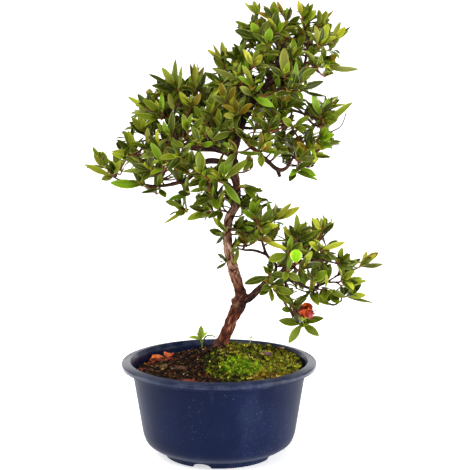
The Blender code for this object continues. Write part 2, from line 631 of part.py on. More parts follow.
def ground_patch(name, middle, half_sizes, thickness, turn, finish, segments, clear_of=None):
    """A low cushion or chip that lies on the soil, its underside following the soil's relief."""
    bm = bmesh.new()
    bmesh.ops.create_uvsphere(bm, u_segments=segments, v_segments=4, radius=1.0)
    rng = random.Random(name)
    ragged = [rng.uniform(*RAGGED_EDGE) for _ in range(segments)]
    middle = Vector(middle)
    for vert in bm.verts:
        from_middle = Vector((vert.co.x, vert.co.y))
        flat = middle.copy()
        if from_middle.length > 0.01:
            step = round(math.atan2(from_middle.y, from_middle.x) / (2 * math.pi) * segments) % segments
            outer = Vector((half_sizes[0] * from_middle.x, half_sizes[1] * from_middle.y))
            outer *= ragged[step] / from_middle.length
            outer.rotate(Matrix.Rotation(turn, 2))
            reach = patch_reach(middle, outer.normalized(), outer.length, clear_of)
            flat += outer.normalized() * reach * from_middle.length
        height = thickness(flat.x, flat.y) * vert.co.z if vert.co.z > 0.01 else -PATCH_SINK
        vert.co = (flat.x, flat.y, soil_height(flat.x, flat.y) + height)
    raised = soil_bmesh()
    bmesh.ops.translate(raised, vec=(0, 0, GAP), verts=raised.verts)
    shape = combined(name, mesh_of(bm, name), [mesh_of(raised, "soil")], "DIFFERENCE")
    add_object(name, shape, finish, 60)


def make_ground_cover(trunk_foot):
    clear = (trunk_foot.x, trunk_foot.y, TRUNK_CLEAR)
    ground_patch("moss", MOSS_MIDDLE, MOSS_HALF_SIZES, moss_thickness, 0.0,
                 material("moss", (0.13, 0.26, 0.03), 0.95), MOSS_SEGMENTS, clear)
    for name, (middle, half_sizes, thick, turn) in CHIPS.items():
        colour = (0.32, 0.11, 0.035) if name.startswith("leaf") else (0.13, 0.045, 0.03)
        finish = material(name, colour, 0.9)
        ground_patch(name, middle, half_sizes, lambda x, y: thick, turn, finish, CHIP_SEGMENTS)


def make_seedling(foot):
    """A self-sown seedling: a thin stem in its hole in the soil, with narrow leaves."""
    top = seen(*SEEDLING_TOP)
    root = foot - Vector((0, 0, SEEDLING_SOCKET_DEPTH - 1.0 * MM))
    path = [root, foot + Vector((0, 0, 4 * MM)), top]
    stem = mesh_of(limb_bmesh(path, [SEEDLING_STEM_RADIUS] * 3, 5), "stem")
    blades = []
    for across, up, out, width in SEEDLING_LEAVES:
        reach = VIEW_RIGHT * across + VIEW_UP * up + VIEW_OUT * out
        face = (Vector((0, 0, 1)) + VIEW_OUT).normalized()
        frame = leaf_frame(top - Vector((0, 0, 0.4 * MM)), reach.normalized(), face)
        blade = blade_bmesh(frame, reach.length * MM, width * MM, LEAF_RIB_THICK * MM)
        blades.append(mesh_of(blade, "leaf"))
    seedling = combined("seedling", stem, blades, "UNION")
    add_object("seedling", seedling, material("seedling", (0.20, 0.32, 0.06), 0.5))


def bloom_bmesh(middle):
    """The crumpled old flower: a shrunken head with folds round it."""
    bm = bmesh.new()
    bmesh.ops.create_icosphere(bm, subdivisions=2, radius=1.0)
    rng = random.Random("spent bloom")
    for vert in bm.verts:
        crumple = 1 + rng.uniform(-BLOOM_CRUMPLE, BLOOM_CRUMPLE)
        vert.co = middle + vert.co * Vector(BLOOM_RADII) * crumple * MM
    return bm


def wood_samples():
    """Places along every limb, with the limb's heading and radius there and whether it is the tip."""
    found = []
    for name, stations in LIMBS.items():
        places = [seen(*station[:3]) for station in stations]
        for i in range(len(places) - 1):
            heading = (places[i + 1] - places[i]).normalized()
            for part in SAMPLE_PARTS:
                place = places[i].lerp(places[i + 1], part)
                radius = (stations[i][3] * (1 - part) + stations[i + 1][3] * part) * MM
                if name != "trunk" or i >= BARE_STATIONS:
                    found.append((place, heading, radius, False))
        found.append((places[-1], heading, stations[-1][3] * MM, True))
    return found


def make_wood():
    """Trunk and branches, grown as one piece, with a plain foot that stands in the soil."""
    limbs = []
    for name, stations in LIMBS.items():
        path = [seen(*station[:3]) for station in stations]
        radii = [station[3] * MM for station in stations]
        if name == "trunk":
            path.insert(0, path[0] - Vector((0, 0, FOOT_DROP)))
            radii.insert(0, radii[0])
        limbs.append(limb_bmesh(path, radii, LIMB_SIDES.get(name, THIN_LIMB_SIDES)))
    trees = [BVHTree.FromBMesh(bm) for bm in limbs]
    meshes = [mesh_of(bm, "limb") for bm in limbs]
    wood = combined("wood", meshes[0], meshes[1:], "UNION")
    add_object("wood", wood, material("bark", BARK_BROWN, 0.85), 50)
    return trees


class Thicket:
    """What is already placed, so that each new twig or leaf can be grown clear of it."""

    def __init__(self, wood_trees):
        self.wood = wood_trees
        self.placed = []

    def add(self, spray, bm, outer=None):
        middle = sum((v.co for v in bm.verts), Vector()) / len(bm.verts)
        radius = max((v.co - middle).length for v in bm.verts)
        inner = BVHTree.FromBMesh(bm)
        self.placed.append((spray, inner, middle, radius, outer))

    def is_clear(self, spray, bm, outer):
        """True if a shape meets nothing: no wood, no other spray, and no outer blade of its own."""
        tree = BVHTree.FromBMesh(bm)
        if any(tree.overlap(wood) for wood in self.wood):
            return False
        middle = sum((v.co for v in bm.verts), Vector()) / len(bm.verts)
        radius = max((v.co - middle).length for v in bm.verts)
        for other, other_tree, other_middle, other_radius, other_outer in self.placed:
            if (middle - other_middle).length > radius + other_radius:
                continue
            if other != spray and tree.overlap(other_tree):
                return False
            if other == spray and outer and other_outer and outer.overlap(other_outer):
                return False
        return True


def twig_starts(middle, samples, taken):
    """Free places on the wood near a spray's middle: each with its start, the step off it and the way."""
    ranked = sorted(samples, key=lambda sample: (sample[0] - middle).length)
    for place, heading, radius, is_tip in ranked[:NEAREST_PLACES]:
        if any((place - used).length < TWIG_SPACING for used in taken):
            continue
        outward = middle - place
        if is_tip and outward.dot(heading) < LEAST_ONWARD * outward.length:
            continue
        if not is_tip:
            outward = outward - heading * outward.dot(heading)
        if outward.length < radius + 1.5 * MM:
            continue
        away = heading if is_tip else outward.normalized()
        start = place + away * ((0 if is_tip else radius) + GAP)
        yield place, start, start + away * TWIG_STEP, away


def twig_paths(thicket, spray, shoots, samples, taken, rng):
    """The paths of one spray's twigs: a main one off the wood to a knot, then one to each shoot."""
    tips = [seen(*shoot[:3]) for shoot in shoots]
    middle = sum(tips, Vector()) / len(tips)
    for place, start, step, away in twig_starts(middle, samples, taken):
        for attempt in range(PATH_TRIES):
            sway = Vector([rng.uniform(-1, 1) for _ in range(3)]) * attempt * PATH_SWAY
            knot = step.lerp(middle, KNOT_PART) + sway
            if (knot - step).dot(away) < LEAST_ALONG * (knot - step).length:
                continue
            paths = []
            for tip in tips:
                sag = Vector((0, 0, TWIG_SAG * (tip - knot).length))
                paths.append([knot, knot.lerp(tip, 0.5) - sag + sway * 0.5, tip])
            onward = (knot - step).normalized()
            straightest = max(paths, key=lambda path: (path[1] - knot).normalized().dot(onward))
            straightest[:1] = [start, step] if len(tips) == 1 else [start, step, knot]
            fat = []
            for path in paths:
                first = path[0].lerp(path[1], 0.5) if path is straightest else path[0]
                fat.append(limb_bmesh([first] + path[1:], [TWIG_ROOT_RADIUS + TWIG_ROOM] * len(path), 5))
            root = limb_bmesh([start, step], [TWIG_ROOT_RADIUS] * 2, 5)
            if all(thicket.is_clear(spray, bm, None) for bm in fat + [root]):
                for bm in fat:
                    thicket.add(spray, bm)
                taken.append(place)
                return paths
    raise ValueError("no free place on the wood for " + spray)


def grow_leaf(thicket, spray, root, direction, face, length, width, rng):
    """The placed leaf as frame, length and width, turned step by step until it is clear, or None."""
    for attempt in range(LEAF_TRIES):
        loose = LEAF_TURN * attempt
        heading = direction + Vector([rng.uniform(-loose, loose) for _ in range(3)])
        heading.normalize()
        upward = face + Vector([rng.uniform(-loose, loose) for _ in range(3)]) * 0.6
        size = length * (1 - LEAF_SHRINK * attempt)
        frame = leaf_frame(root, heading, upward)
        longer, wider, thicker = LEAF_ROOM
        fat = blade_bmesh(frame, (size + longer) * MM, (width + wider) * MM, (LEAF_RIB_THICK + thicker) * MM)
        outer = blade_bmesh(frame, size * MM, width * MM, LEAF_RIB_THICK * MM, FREE_PART)
        outer_tree = BVHTree.FromBMesh(outer)
        if thicket.is_clear(spray, fat, outer_tree):
            thicket.add(spray, fat, outer_tree)
            return frame, size, width
    return None


def shown_leaf(leaf, depth, rng):
    """Heading, face, length and width of a leaf that the front view shows."""
    wide = leaf[2] if len(leaf) > 2 else SEEN_WIDTH
    if wide == LIME_LEAF_SIZE[1]:
        return VIEW_UP, VIEW_OUT, *LIME_LEAF_SIZE
    flat = VIEW_RIGHT * leaf[0] + VIEW_UP * leaf[1]
    length = max(flat.length * 1.03, rng.uniform(*LEAF_LENGTHS))
    towards = math.sqrt(max(length ** 2 - flat.length ** 2, 0.0))
    outwards = 1 if depth < 0 or rng.random() < 0.4 else -1
    heading = (flat + VIEW_OUT * towards * outwards).normalized()
    square = VIEW_OUT.cross(flat).normalized()
    facing = heading.cross(square).normalized()
    if facing.dot(VIEW_OUT) < 0:
        facing = -facing
    if square.z < 0:
        square = -square
    full = max(min(LEAF_WIDTH, LEAF_SLENDER[1] * length), min(wide, LEAF_WIDEST))
    roll = math.acos(min(wide / full, 1.0) * 0.96)
    return heading, facing * math.cos(roll) + square * math.sin(roll), length, full


def added_leaf(axis, index, rng):
    """Heading, face, length and width of a leaf that the rule adds round a shoot's axis."""
    side = axis.orthogonal().normalized()
    side.rotate(Quaternion(axis, math.radians(ADDED_TURN * index + rng.uniform(-ADDED_LOOSE, ADDED_LOOSE))))
    spread = math.radians(rng.uniform(*ADDED_SPREAD))
    heading = (axis * math.cos(spread) + side * math.sin(spread)).normalized()
    face = (axis - heading * axis.dot(heading)).normalized() + Vector((0, 0, 0.3))
    length = rng.uniform(*LEAF_LENGTHS)
    return heading, face, length, rng.uniform(*LEAF_SLENDER) * length


def spray_shoots(name):
    """The spray's own shoots, and those that the rule adds behind them."""
    back_count, shoots = SPRAYS[name]
    rng = random.Random("back " + name)
    every = [(*shoot, 0) for shoot in shoots]
    middle = [sum(shoot[i] for shoot in shoots) / len(shoots) for i in range(3)]
    for _ in range(back_count):
        across = middle[0] + rng.uniform(*BACK_ACROSS)
        up = middle[1] + rng.uniform(*BACK_UP)
        depth = rng.uniform(*BACK_DEPTH) + BACK_SHIFT * abs(middle[2])
        every.append((across, up, depth, [], BACK_LEAVES))
    return every


def make_spray(name, thicket, samples, taken):
    rng = random.Random(name)
    shoots = spray_shoots(name)
    return name, shoots, twig_paths(thicket, name, shoots, samples, taken, rng), rng


def back_from_tip(path, distance):
    """The place on a twig's path that lies a distance back from its tip, short of its root."""
    for ahead, behind in zip(path[::-1], path[-2::-1]):
        span = (ahead - behind).length
        if distance < span:
            return ahead.lerp(behind, distance / span)
        distance -= span
    return path[0].lerp(path[1], 0.2)


def leaf_spray(spray, thicket):
    """Leaves for one spray: the shown ones first, then the added ones round each shoot."""
    name, shoots, paths, rng = spray
    grown = []
    for shoot, stem in zip(shoots, paths):
        tip = stem[-1]
        inward = (stem[-2] - tip).normalized()
        wanted = [shown_leaf(leaf, shoot[2], rng) for leaf in shoot[3]]
        axis = Vector((0, 0, 0.7)) - inward
        for heading, _, _, _ in wanted:
            axis += heading * 0.5
        axis.normalize()
        added = [added_leaf(axis, i, rng) for i in range(shoot[4])]
        for i, (heading, face, length, width) in enumerate(wanted + added):
            root = back_from_tip(stem, (LEAF_START + LEAF_PITCH * i) * MM)
            leaf = grow_leaf(thicket, name, root, heading, face, length, width, rng)
            if leaf:
                grown.append(leaf)
    return grown


def finish_spray(spray, leaves, finish):
    name, shoots, paths, _ = spray
    pieces = []
    for path in paths:
        from_wood = len(path) > 3
        root_radius = TWIG_ROOT_RADIUS if from_wood else 0.85 * TWIG_ROOT_RADIUS
        taper = (TWIG_TIP_RADIUS - root_radius) / (len(path) - 1)
        radii = [root_radius + taper * k for k in range(len(path))]
        pieces.append(mesh_of(limb_bmesh(path, radii, 4 if from_wood else 3), "twig"))
    for frame, length, width in leaves:
        pieces.append(mesh_of(blade_bmesh(frame, length * MM, width * MM, LEAF_RIB_THICK * MM), "leaf"))
    if name == SPENT_BLOOM:
        pieces.append(mesh_of(bloom_bmesh(paths[-1][-1]), "bloom"))
    add_object("spray_" + name, combined(name, pieces[0], pieces[1:], "UNION"), finish)


for old in list(bpy.data.objects):
    bpy.data.objects.remove(old)

ORIGIN = bpy.data.objects.new("plant_middle", None)
ORIGIN.location = (-POT_OFFSET, 0, 0)
bpy.context.scene.collection.objects.link(ORIGIN)
bpy.context.view_layer.update()

make_pot()
trunk_foot = seen(*LIMBS["trunk"][0][:3])
seedling_foot = Vector((*SEEDLING_PLACE, soil_height(*SEEDLING_PLACE)))
make_soil(trunk_foot, seedling_foot)
make_ground_cover(trunk_foot)
make_seedling(seedling_foot)

thicket = Thicket(make_wood())
samples = wood_samples()
taken = []
leaf_finishes = {
    LIME_LEAF: material("lime_leaf", (0.45, 0.72, 0.12), 0.5),
    SPENT_BLOOM: material("spent_bloom", (0.55, 0.13, 0.035), 0.8),
}
leaf_green = material("leaf", LEAF_GREEN, 0.45)
sprays = [make_spray(name, thicket, samples, taken) for name in SPRAYS]
thicket.add(SPENT_BLOOM, bloom_bmesh(seen(*SPRAYS[SPENT_BLOOM][1][0][:3])))
for spray in sprays:
    finish_spray(spray, leaf_spray(spray, thicket), leaf_finishes.get(spray[0], leaf_green))
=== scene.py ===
"""The looks of a satsuki azalea grown as a small bonsai, in its round plastic training pot."""

import json
import math
import random

import bmesh
import bpy
import numpy as np
from mathutils import Matrix, Quaternion, Vector, kdtree, noise
from mathutils.bvhtree import BVHTree

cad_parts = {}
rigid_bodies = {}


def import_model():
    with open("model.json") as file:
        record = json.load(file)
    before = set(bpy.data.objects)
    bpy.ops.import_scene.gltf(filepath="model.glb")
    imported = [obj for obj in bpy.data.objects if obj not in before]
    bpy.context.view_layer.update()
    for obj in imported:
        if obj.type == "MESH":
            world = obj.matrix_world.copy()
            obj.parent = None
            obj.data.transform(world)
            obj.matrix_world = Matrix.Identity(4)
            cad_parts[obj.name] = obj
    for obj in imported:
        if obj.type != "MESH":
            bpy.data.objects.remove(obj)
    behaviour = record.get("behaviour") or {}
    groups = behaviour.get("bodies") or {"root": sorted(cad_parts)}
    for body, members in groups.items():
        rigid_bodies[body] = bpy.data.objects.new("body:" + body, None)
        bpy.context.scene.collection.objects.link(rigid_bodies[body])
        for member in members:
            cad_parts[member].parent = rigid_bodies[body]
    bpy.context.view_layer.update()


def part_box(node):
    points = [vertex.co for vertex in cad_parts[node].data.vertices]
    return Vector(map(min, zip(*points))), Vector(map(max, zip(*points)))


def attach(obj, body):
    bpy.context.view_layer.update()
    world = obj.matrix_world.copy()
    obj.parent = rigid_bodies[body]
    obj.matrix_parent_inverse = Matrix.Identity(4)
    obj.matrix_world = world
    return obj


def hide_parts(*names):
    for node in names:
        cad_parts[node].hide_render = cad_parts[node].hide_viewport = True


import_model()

# The view: a long lens 1.7 m in front of the plant and a little above it, looking ten degrees down. Two
# words of it are used all through: across and up are millimetres on a true-size plane square to its
# sight line, and depth is millimetres behind the pot's middle.
MM = 0.001
EYE = Vector((1.1, -1700.0, 523.0))
SIGHT_DROP = math.radians(9.83)
SIGHT_LENGTH = 1705.0
VIEW_MIDDLE = (16.0, 229.0)
VIEW_RIGHT = Vector((1.0, 0.0, 0.0))
VIEW_UP = Vector((0.0, math.sin(SIGHT_DROP), math.cos(SIGHT_DROP)))
VIEW_OUT = Vector((0.0, -math.cos(SIGHT_DROP), math.sin(SIGHT_DROP)))
LENS = 130.6
SENSOR = 36.0


def seen(across, up, depth):
    """The place in metres that the view shows at across and up, depth mm behind the pot's middle."""
    sideways = (across - VIEW_MIDDLE[0]) / SIGHT_LENGTH
    upwards = (up - VIEW_MIDDLE[1]) / SIGHT_LENGTH
    ray = VIEW_RIGHT * sideways + VIEW_UP * upwards - VIEW_OUT
    return (EYE + ray * ((depth - EYE.y) / ray.y)) * MM


def towards(across, up, out=0.0):
    """The vector that goes so far across, up and out of the view."""
    return VIEW_RIGHT * across + VIEW_UP * up + VIEW_OUT * out


def in_scene(name, data):
    """A new object in the scene, which shows its data."""
    made = bpy.data.objects.new(name, data)
    bpy.context.scene.collection.objects.link(made)
    return made


camera = in_scene("camera", bpy.data.cameras.new("camera"))
camera.location = EYE * MM
camera.rotation_euler = (math.pi / 2 - SIGHT_DROP, 0.0, 0.0)
camera.data.lens = LENS
camera.data.sensor_width = SENSOR
bpy.context.scene.camera = camera

# The studio: soft white light from all round, a wide key light from the upper left that reaches the whole
# floor, and a soft box on each side for the sheen down the pot's wall. The floor is a plain pale sheet.
SKY_STRENGTH = 0.42
KEY_DIRECTION = Vector((-0.75, -1.05, 1.9))
KEY_SPREAD = math.radians(40.0)
KEY_STRENGTH = 2.9
# Each soft box: place, width, height and power. The wide one is the lit backdrop, above the picture.
SOFT_BOXES = {
    "right_box": (Vector((1.5, -0.65, 0.45)), 0.9, 0.9, 23.0),
    "left_box": (Vector((-1.6, 0.1, 0.55)), 0.8, 0.8, 6.5),
    "backdrop": (Vector((0.0, 2.2, 0.68)), 3.4, 0.46, 6.5),
}
AIM = Vector((0.0, 0.0, 0.12))
FLOOR_SIZE = 60.0
FLOOR_GLOW = 0.6
PALE = (0.93, 0.93, 0.93)


class Amount:
    """A number that varies over a surface. Arithmetic on it adds the nodes that work it out."""

    def __init__(self, finish, socket):
        self.finish = finish
        self.socket = socket

    def worked(self, operation, *values):
        sockets = dict(zip(("Value", "Value_001", "Value_002"), values))
        return self.finish.node("Math", {"operation": operation}, sockets)

    def __add__(self, other):
        return self.worked("ADD", self, other)

    def __sub__(self, other):
        return self.worked("SUBTRACT", self, other)

    def __rsub__(self, other):
        return self.worked("SUBTRACT", other, self)

    def __mul__(self, other):
        return self.worked("MULTIPLY", self, other)

    def size(self):
        return self.worked("ABSOLUTE", self)

    def between(self, low, high):
        """Nothing at low, one at high, and an even curve from the one to the other."""
        return self.finish.node("MapRange", {"interpolation_type": "SMOOTHSTEP"},
                                {"Value": self, "From Min": low, "From Max": high})

    __radd__ = __add__
    __rmul__ = __mul__


class Finish:
    """One material. Constants sit on the shader's own sockets, and what varies is linked to them."""

    def __init__(self, name, colour, roughness, **constants):
        self.material = bpy.data.materials.new(name)
        self.material.use_nodes = True
        self.tree = self.material.node_tree
        self.shader = self.tree.nodes["Principled BSDF"]
        self.shader.inputs["Base Color"].default_value = (*colour, 1.0)
        self.shader.inputs["Roughness"].default_value = roughness
        for socket, value in constants.items():
            self.shader.inputs[socket.replace("_", " ")].default_value = value

    def node(self, kind, settings, sockets, output=0):
        """Adds a node: first its settings, then its sockets' values or links."""
        made = self.tree.nodes.new("ShaderNode" + kind)
        for setting, value in settings.items():
            if setting == "stops":
                while len(made.color_ramp.elements) < len(value):
                    made.color_ramp.elements.new(1.0)
                for stop, (place, colour) in zip(made.color_ramp.elements, value):
                    stop.position = place
                    stop.color = (*colour, 1.0)
            else:
                setattr(made, setting, value)
        for name, value in sockets.items():
            socket = next(s for s in made.inputs if s.identifier == name)
            if isinstance(value, Amount):
                self.tree.links.new(value.socket, socket)
            else:
                socket.default_value = value
        return Amount(self, made.outputs[output])

    def places(self):
        return self.node("TexCoord", {}, {}, 3)

    def attribute(self, name, output=0):
        return self.node("Attribute", {"attribute_name": name}, {}, output)

    def noise(self, place, scale, detail=2.0, roughness=0.5, distortion=0.0):
        return self.node("TexNoise", {}, {"Vector": place, "Scale": scale, "Detail": detail,
                                          "Roughness": roughness, "Distortion": distortion})

    def stretched(self, place, scale):
        return self.node("Mapping", {}, {"Vector": place, "Scale": scale})

    def part(self, vector, axis):
        return self.node("SeparateXYZ", {}, {"Vector": vector}, "xyz".index(axis))

    def ramp(self, amount, stops):
        return self.node("ValToRGB", {"stops": stops}, {"Fac": amount})

    def mixed(self, amount, first, second):
        """The first colour where the amount is nothing, the second where it is one."""
        colours = [c if isinstance(c, Amount) else (*c, 1.0) for c in (first, second)]
        return self.node("Mix", {"data_type": "RGBA"},
                         {"Factor_Float": amount, "A_Color": colours[0], "B_Color": colours[1]}, 2)

    def shaded(self, colour, amount):
        """A colour made darker or lighter by an amount."""
        return self.node("VectorMath", {"operation": "SCALE"}, {"Vector": colour, "Scale": amount})

    def paint(self, socket, value):
        self.tree.links.new(value.socket, self.shader.inputs[socket])

    def tint(self, light):
        """Paints each part in the tint that its mesh gives it, made lighter or darker by an amount."""
        self.paint("Base Color", self.shaded(self.attribute("tint"), light))

    def bump(self, height, strength, depth):
        """Raises the surface by an amount, depth metres at most."""
        sockets = {"Height": height, "Strength": strength, "Distance": depth}
        self.paint("Normal", self.node("Bump", {}, sockets))


def tone(red, green, blue):
    """A colour as it is seen, from 0 to 255, as the light that the surface gives back."""
    return tuple((part / 255) ** 2.2 for part in (red, green, blue))


def mesh_of(bm, name):
    mesh = bpy.data.meshes.new(name)
    bm.to_mesh(mesh)
    bm.free()
    return mesh


bpy.context.scene.view_settings.view_transform = "Standard"
sky = bpy.data.worlds.new("white_studio")
sky.use_nodes = True
sky.node_tree.nodes["Background"].inputs["Color"].default_value = (1.0, 1.0, 1.0, 1.0)
sky.node_tree.nodes["Background"].inputs["Strength"].default_value = SKY_STRENGTH
bpy.context.scene.world = sky
key = in_scene("key", bpy.data.lights.new("key", "SUN"))
key.data.angle = KEY_SPREAD
key.data.energy = KEY_STRENGTH
key.rotation_euler = KEY_DIRECTION.to_track_quat("Z", "Y").to_euler()
for name, (place, width, height, power) in SOFT_BOXES.items():
    box = in_scene(name, bpy.data.lights.new(name, "AREA"))
    box.data.shape = "RECTANGLE"
    box.data.size = width
    box.data.size_y = height
    box.data.energy = power
    box.location = place
    box.rotation_euler = (place - AIM).to_track_quat("Z", "Y").to_euler()
floor_bm = bmesh.new()
bmesh.ops.create_grid(floor_bm, x_segments=1, y_segments=1, size=FLOOR_SIZE / 2)
floor = in_scene("floor", mesh_of(floor_bm, "floor"))
pale = Finish("pale_floor", PALE, 0.8, Emission_Color=(1.0, 1.0, 1.0, 1.0), Emission_Strength=FLOOR_GLOW)
floor.data.materials.append(pale.material)

# The pot: one moulding in navy plastic, with a flat rim flange that turns down to a thin ledge, a tapering
# wall, a round shoulder and a low foot ring. Four arches in the foot and five holes let water out.
POT_MIDDLE = Vector((-15.2, 0.0, 0.0)) * MM
POT_SEGMENTS = 144
# Radius, height and how far the corner is rounded, in mm, from the middle underneath round to the inside
POT_PROFILE = [
    (0, 5.5, 0), (49.5, 5.5, 1), (50.6, 0, 1), (55.6, 0, 1), (57.0, 5.0, 0.8), (58.4, 6.4, 0.5),
    (66.5, 8.9, 3), (75.0, 14.6, 4), (78.2, 23, 4), (88.9, 89.3, 0.8), (95.2, 89.8, 0.4), (95.9, 92.2, 0.5),
    (99.3, 92.4, 0.5), (100, 95.8, 0.7), (99.4, 97.2, 0.6), (91.0, 98.9, 0.9), (88.4, 94.6, 1.0),
    (86.9, 88, 2), (76.2, 24, 5), (66.5, 13.2, 5), (57, 9.4, 2), (50, 8, 1), (0, 8, 0),
]
FOOT_MIDDLE = 53.2 * MM
ARCH_COUNT = 4
ARCH_FIRST = math.radians(-108.0)
ARCH_HALF_SIZES = Vector((4.5, 10.0, 8.0)) * MM
DRAIN_COUNT = 5
DRAIN_CIRCLE = 32.0 * MM
DRAIN_HALF_SIZES = (5.0 * MM, 5.0 * MM, 15.0 * MM)
NAVY = tone(16, 26, 54)
NAVY_LOW = tone(34, 44, 72)
SCUFF = tone(130, 142, 170)
HAZE = tone(112, 130, 164)
# Pale grey for the rim's worn patches, and for the painted sheen over the whole flange
RIM_WEAR_AND_SHEEN = tone(116, 122, 132)
# The heights over which the paler foot fades out and the rim flange begins, and how far from the pot's
# middle, squared, the flange shines at its left and right ends
LOW_HEIGHTS = (0.004, 0.020)
RIM_HEIGHTS = (0.0925, 0.0940)
SHINE_REACH = (0.0022, 0.0074)


def rounded(corners, steps=4):
    """A profile whose corners are rounded, each by its own amount."""
    points = []
    for i, (radius, height, size) in enumerate(corners):
        here = Vector((radius, height))
        if not size:
            points.append(here)
            continue
        start = here + (Vector(corners[i - 1][:2]) - here).normalized() * size
        end = here + (Vector(corners[i + 1][:2]) - here).normalized() * size
        for k in range(steps + 1):
            part = k / steps
            points.append(start * (1 - part) ** 2 + here * 2 * part * (1 - part) + end * part ** 2)
    return points


def turned(profile, segments):
    """A closed body: the profile, in mm, turned round the vertical."""
    bm = bmesh.new()
    points = [bm.verts.new((radius * MM, 0.0, height * MM)) for radius, height in profile]
    edges = [bm.edges.new(pair) for pair in zip(points, points[1:])]
    bmesh.ops.spin(bm, geom=points + edges, axis=(0, 0, 1), cent=(0, 0, 0),
                   angle=2 * math.pi, steps=segments, use_merge=True)
    bmesh.ops.remove_doubles(bm, verts=bm.verts, dist=0.001 * MM)
    bmesh.ops.recalc_face_normals(bm, faces=bm.faces)
    return bm


def settled(mesh, add_modifiers):
    """The mesh with modifiers applied, which add_modifiers puts on an object of it."""
    holder = in_scene("holder", mesh)
    add_modifiers(holder)
    evaluated = holder.evaluated_get(bpy.context.evaluated_depsgraph_get())
    result = bpy.data.meshes.new_from_object(evaluated)
    bpy.data.objects.remove(holder)
    return result


def placed(name, mesh, finishes, nodes=(), sharp=35):
    """A finished piece of the plant: shaded smooth, dressed, and riding on the plant's one body."""
    for finish in finishes:
        mesh.materials.append(finish.material)
    mesh.shade_smooth()
    if sharp:
        mesh.set_sharp_from_angle(angle=math.radians(sharp))
    made = in_scene(name, mesh)
    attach(made, "root")
    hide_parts(*nodes)


def cut(mesh, cutters):
    """The mesh with the cutters taken out of it."""
    collection = bpy.data.collections.new("cutters")
    bpy.context.scene.collection.children.link(collection)
    for bm in cutters:
        collection.objects.link(bpy.data.objects.new("cutter", mesh_of(bm, "cutter")))

    def add_cut(holder):
        cutting = holder.modifiers.new("cut", "BOOLEAN")
        cutting.operation = "DIFFERENCE"
        cutting.operand_type = "COLLECTION"
        cutting.collection = collection
    result = settled(mesh, add_cut)
    for cutter in list(collection.objects):
        bpy.data.objects.remove(cutter)
    bpy.data.collections.remove(collection)
    return result


def drum(place, half_sizes, turn, segments):
    """A cutter: a round drum of that half size along each way, standing at a place."""
    bm = bmesh.new()
    matrix = Matrix.Translation(place) @ turn @ Matrix.Diagonal((*half_sizes, 1.0))
    bmesh.ops.create_cone(bm, cap_ends=True, segments=segments, radius1=1.0, radius2=1.0, depth=2.0,
                          matrix=matrix)
    return bm


cutters = []
for i in range(ARCH_COUNT):
    outward = Matrix.Rotation(ARCH_FIRST + i * 2 * math.pi / ARCH_COUNT, 4, "Z")
    lying = outward @ Matrix.Rotation(math.pi / 2, 4, "Y")
    cutters.append(drum(outward @ Vector((FOOT_MIDDLE, 0, 0)), ARCH_HALF_SIZES, lying, 32))
for i in range(DRAIN_COUNT):
    angle = i * 2 * math.pi / DRAIN_COUNT
    middle = Vector((math.cos(angle), math.sin(angle), 0.0)) * DRAIN_CIRCLE
    cutters.append(drum(middle, DRAIN_HALF_SIZES, Matrix.Identity(4), 24))
pot_mesh = cut(mesh_of(turned(rounded(POT_PROFILE), POT_SEGMENTS), "pot"), cutters)
pot_mesh.transform(Matrix.Translation(POT_MIDDLE))

navy = Finish("navy_plastic", NAVY, 0.4, IOR=1.46, Specular_IOR_Level=0.08, Coat_Roughness=0.2)
where = navy.places()
height = navy.part(where, "z")
clouds = navy.noise(where, 18.0, 4.0)
streaks = navy.noise(navy.stretched(where, (1.0, 1.0, 0.12)), 60.0, 3.0)
scratches = navy.noise(navy.stretched(where, (1.0, 0.35, 2.2)), 240.0, 3.0, 0.6, 1.6)
scuffed = scratches.between(0.63, 0.72) * clouds.between(0.45, 0.62)
hazes = navy.noise(navy.stretched(where, (1.0, 1.0, 0.4)), 34.0, 5.0, 0.6).between(0.48, 0.72)
specks = navy.noise(where, 620.0, 1.0).between(0.70, 0.76) * clouds.between(0.4, 0.6)
rim = height.between(*RIM_HEIGHTS)
worn = navy.noise(where, 85.0, 5.0, 0.65).between(0.40, 0.66) * rim
low = 1 - height.between(*LOW_HEIGHTS)
marks = scuffed * 0.22 + specks * 0.10 + streaks.between(0.56, 0.75) * 0.05
coloured = navy.shaded(navy.mixed(low * 0.5, NAVY, NAVY_LOW), clouds * 0.9 + streaks * 0.5 + 0.3)
# The rim flange is paler in its worn patches and, as painted sheen, a little paler all over.
for amount, paint in ((marks, SCUFF), (hazes * 0.035, HAZE), (worn * 0.13 + rim * 0.02, RIM_WEAR_AND_SHEEN)):
    coloured = navy.mixed(amount, coloured, paint)
navy.paint("Base Color", coloured)
from_middle = navy.part(where, "x") - POT_MIDDLE.x
navy.paint("Coat Weight", rim * ((from_middle * from_middle).between(*SHINE_REACH) * 0.6 + 0.15))
navy.paint("Roughness", 0.34 + streaks * 0.12 + scuffed * 0.25 + worn * 0.22)
navy.bump(streaks * 0.5 + scratches * 0.3 + clouds * 0.4, 0.25, 0.4 * MM)
placed("training_pot", pot_mesh, [navy], ["pot"])

# The potting mix: dark crumbly soil that fills the pot, mounded round the trunk and low at the back left.
# Grit lies on it: crushed olive-brown gravel, red-brown crumbs and a few pale grains.
SOIL_LEVEL = 90.0
# Each mound: its middle, its height and its spread. The first is the tree's, the second leans on the wall.
MOUNDS = [((2.0, 34.0), 15.5, 31.0), ((62.0, 46.0), 6.5, 27.0)]
SOIL_SEGMENTS = 176
SOIL_REACH = 85.9
SOIL_RING_STEP = 1.6
SOIL_SIDE = [(0, 8.4), (49, 8.4), (65.8, 13.7), (75.6, 25), (85.9, 84.5)]
CRUMB_HEIGHT = 1.5
GRIT_COUNT = 2600
GRIT_RADII = (0.45, 1.25)
LARGE_GRIT = 1.7
LARGE_SHARE = 0.12
GRIT_ROUGH = 0.16
GRIT_RISE = 0.25
WALL_CLEAR = 1.5
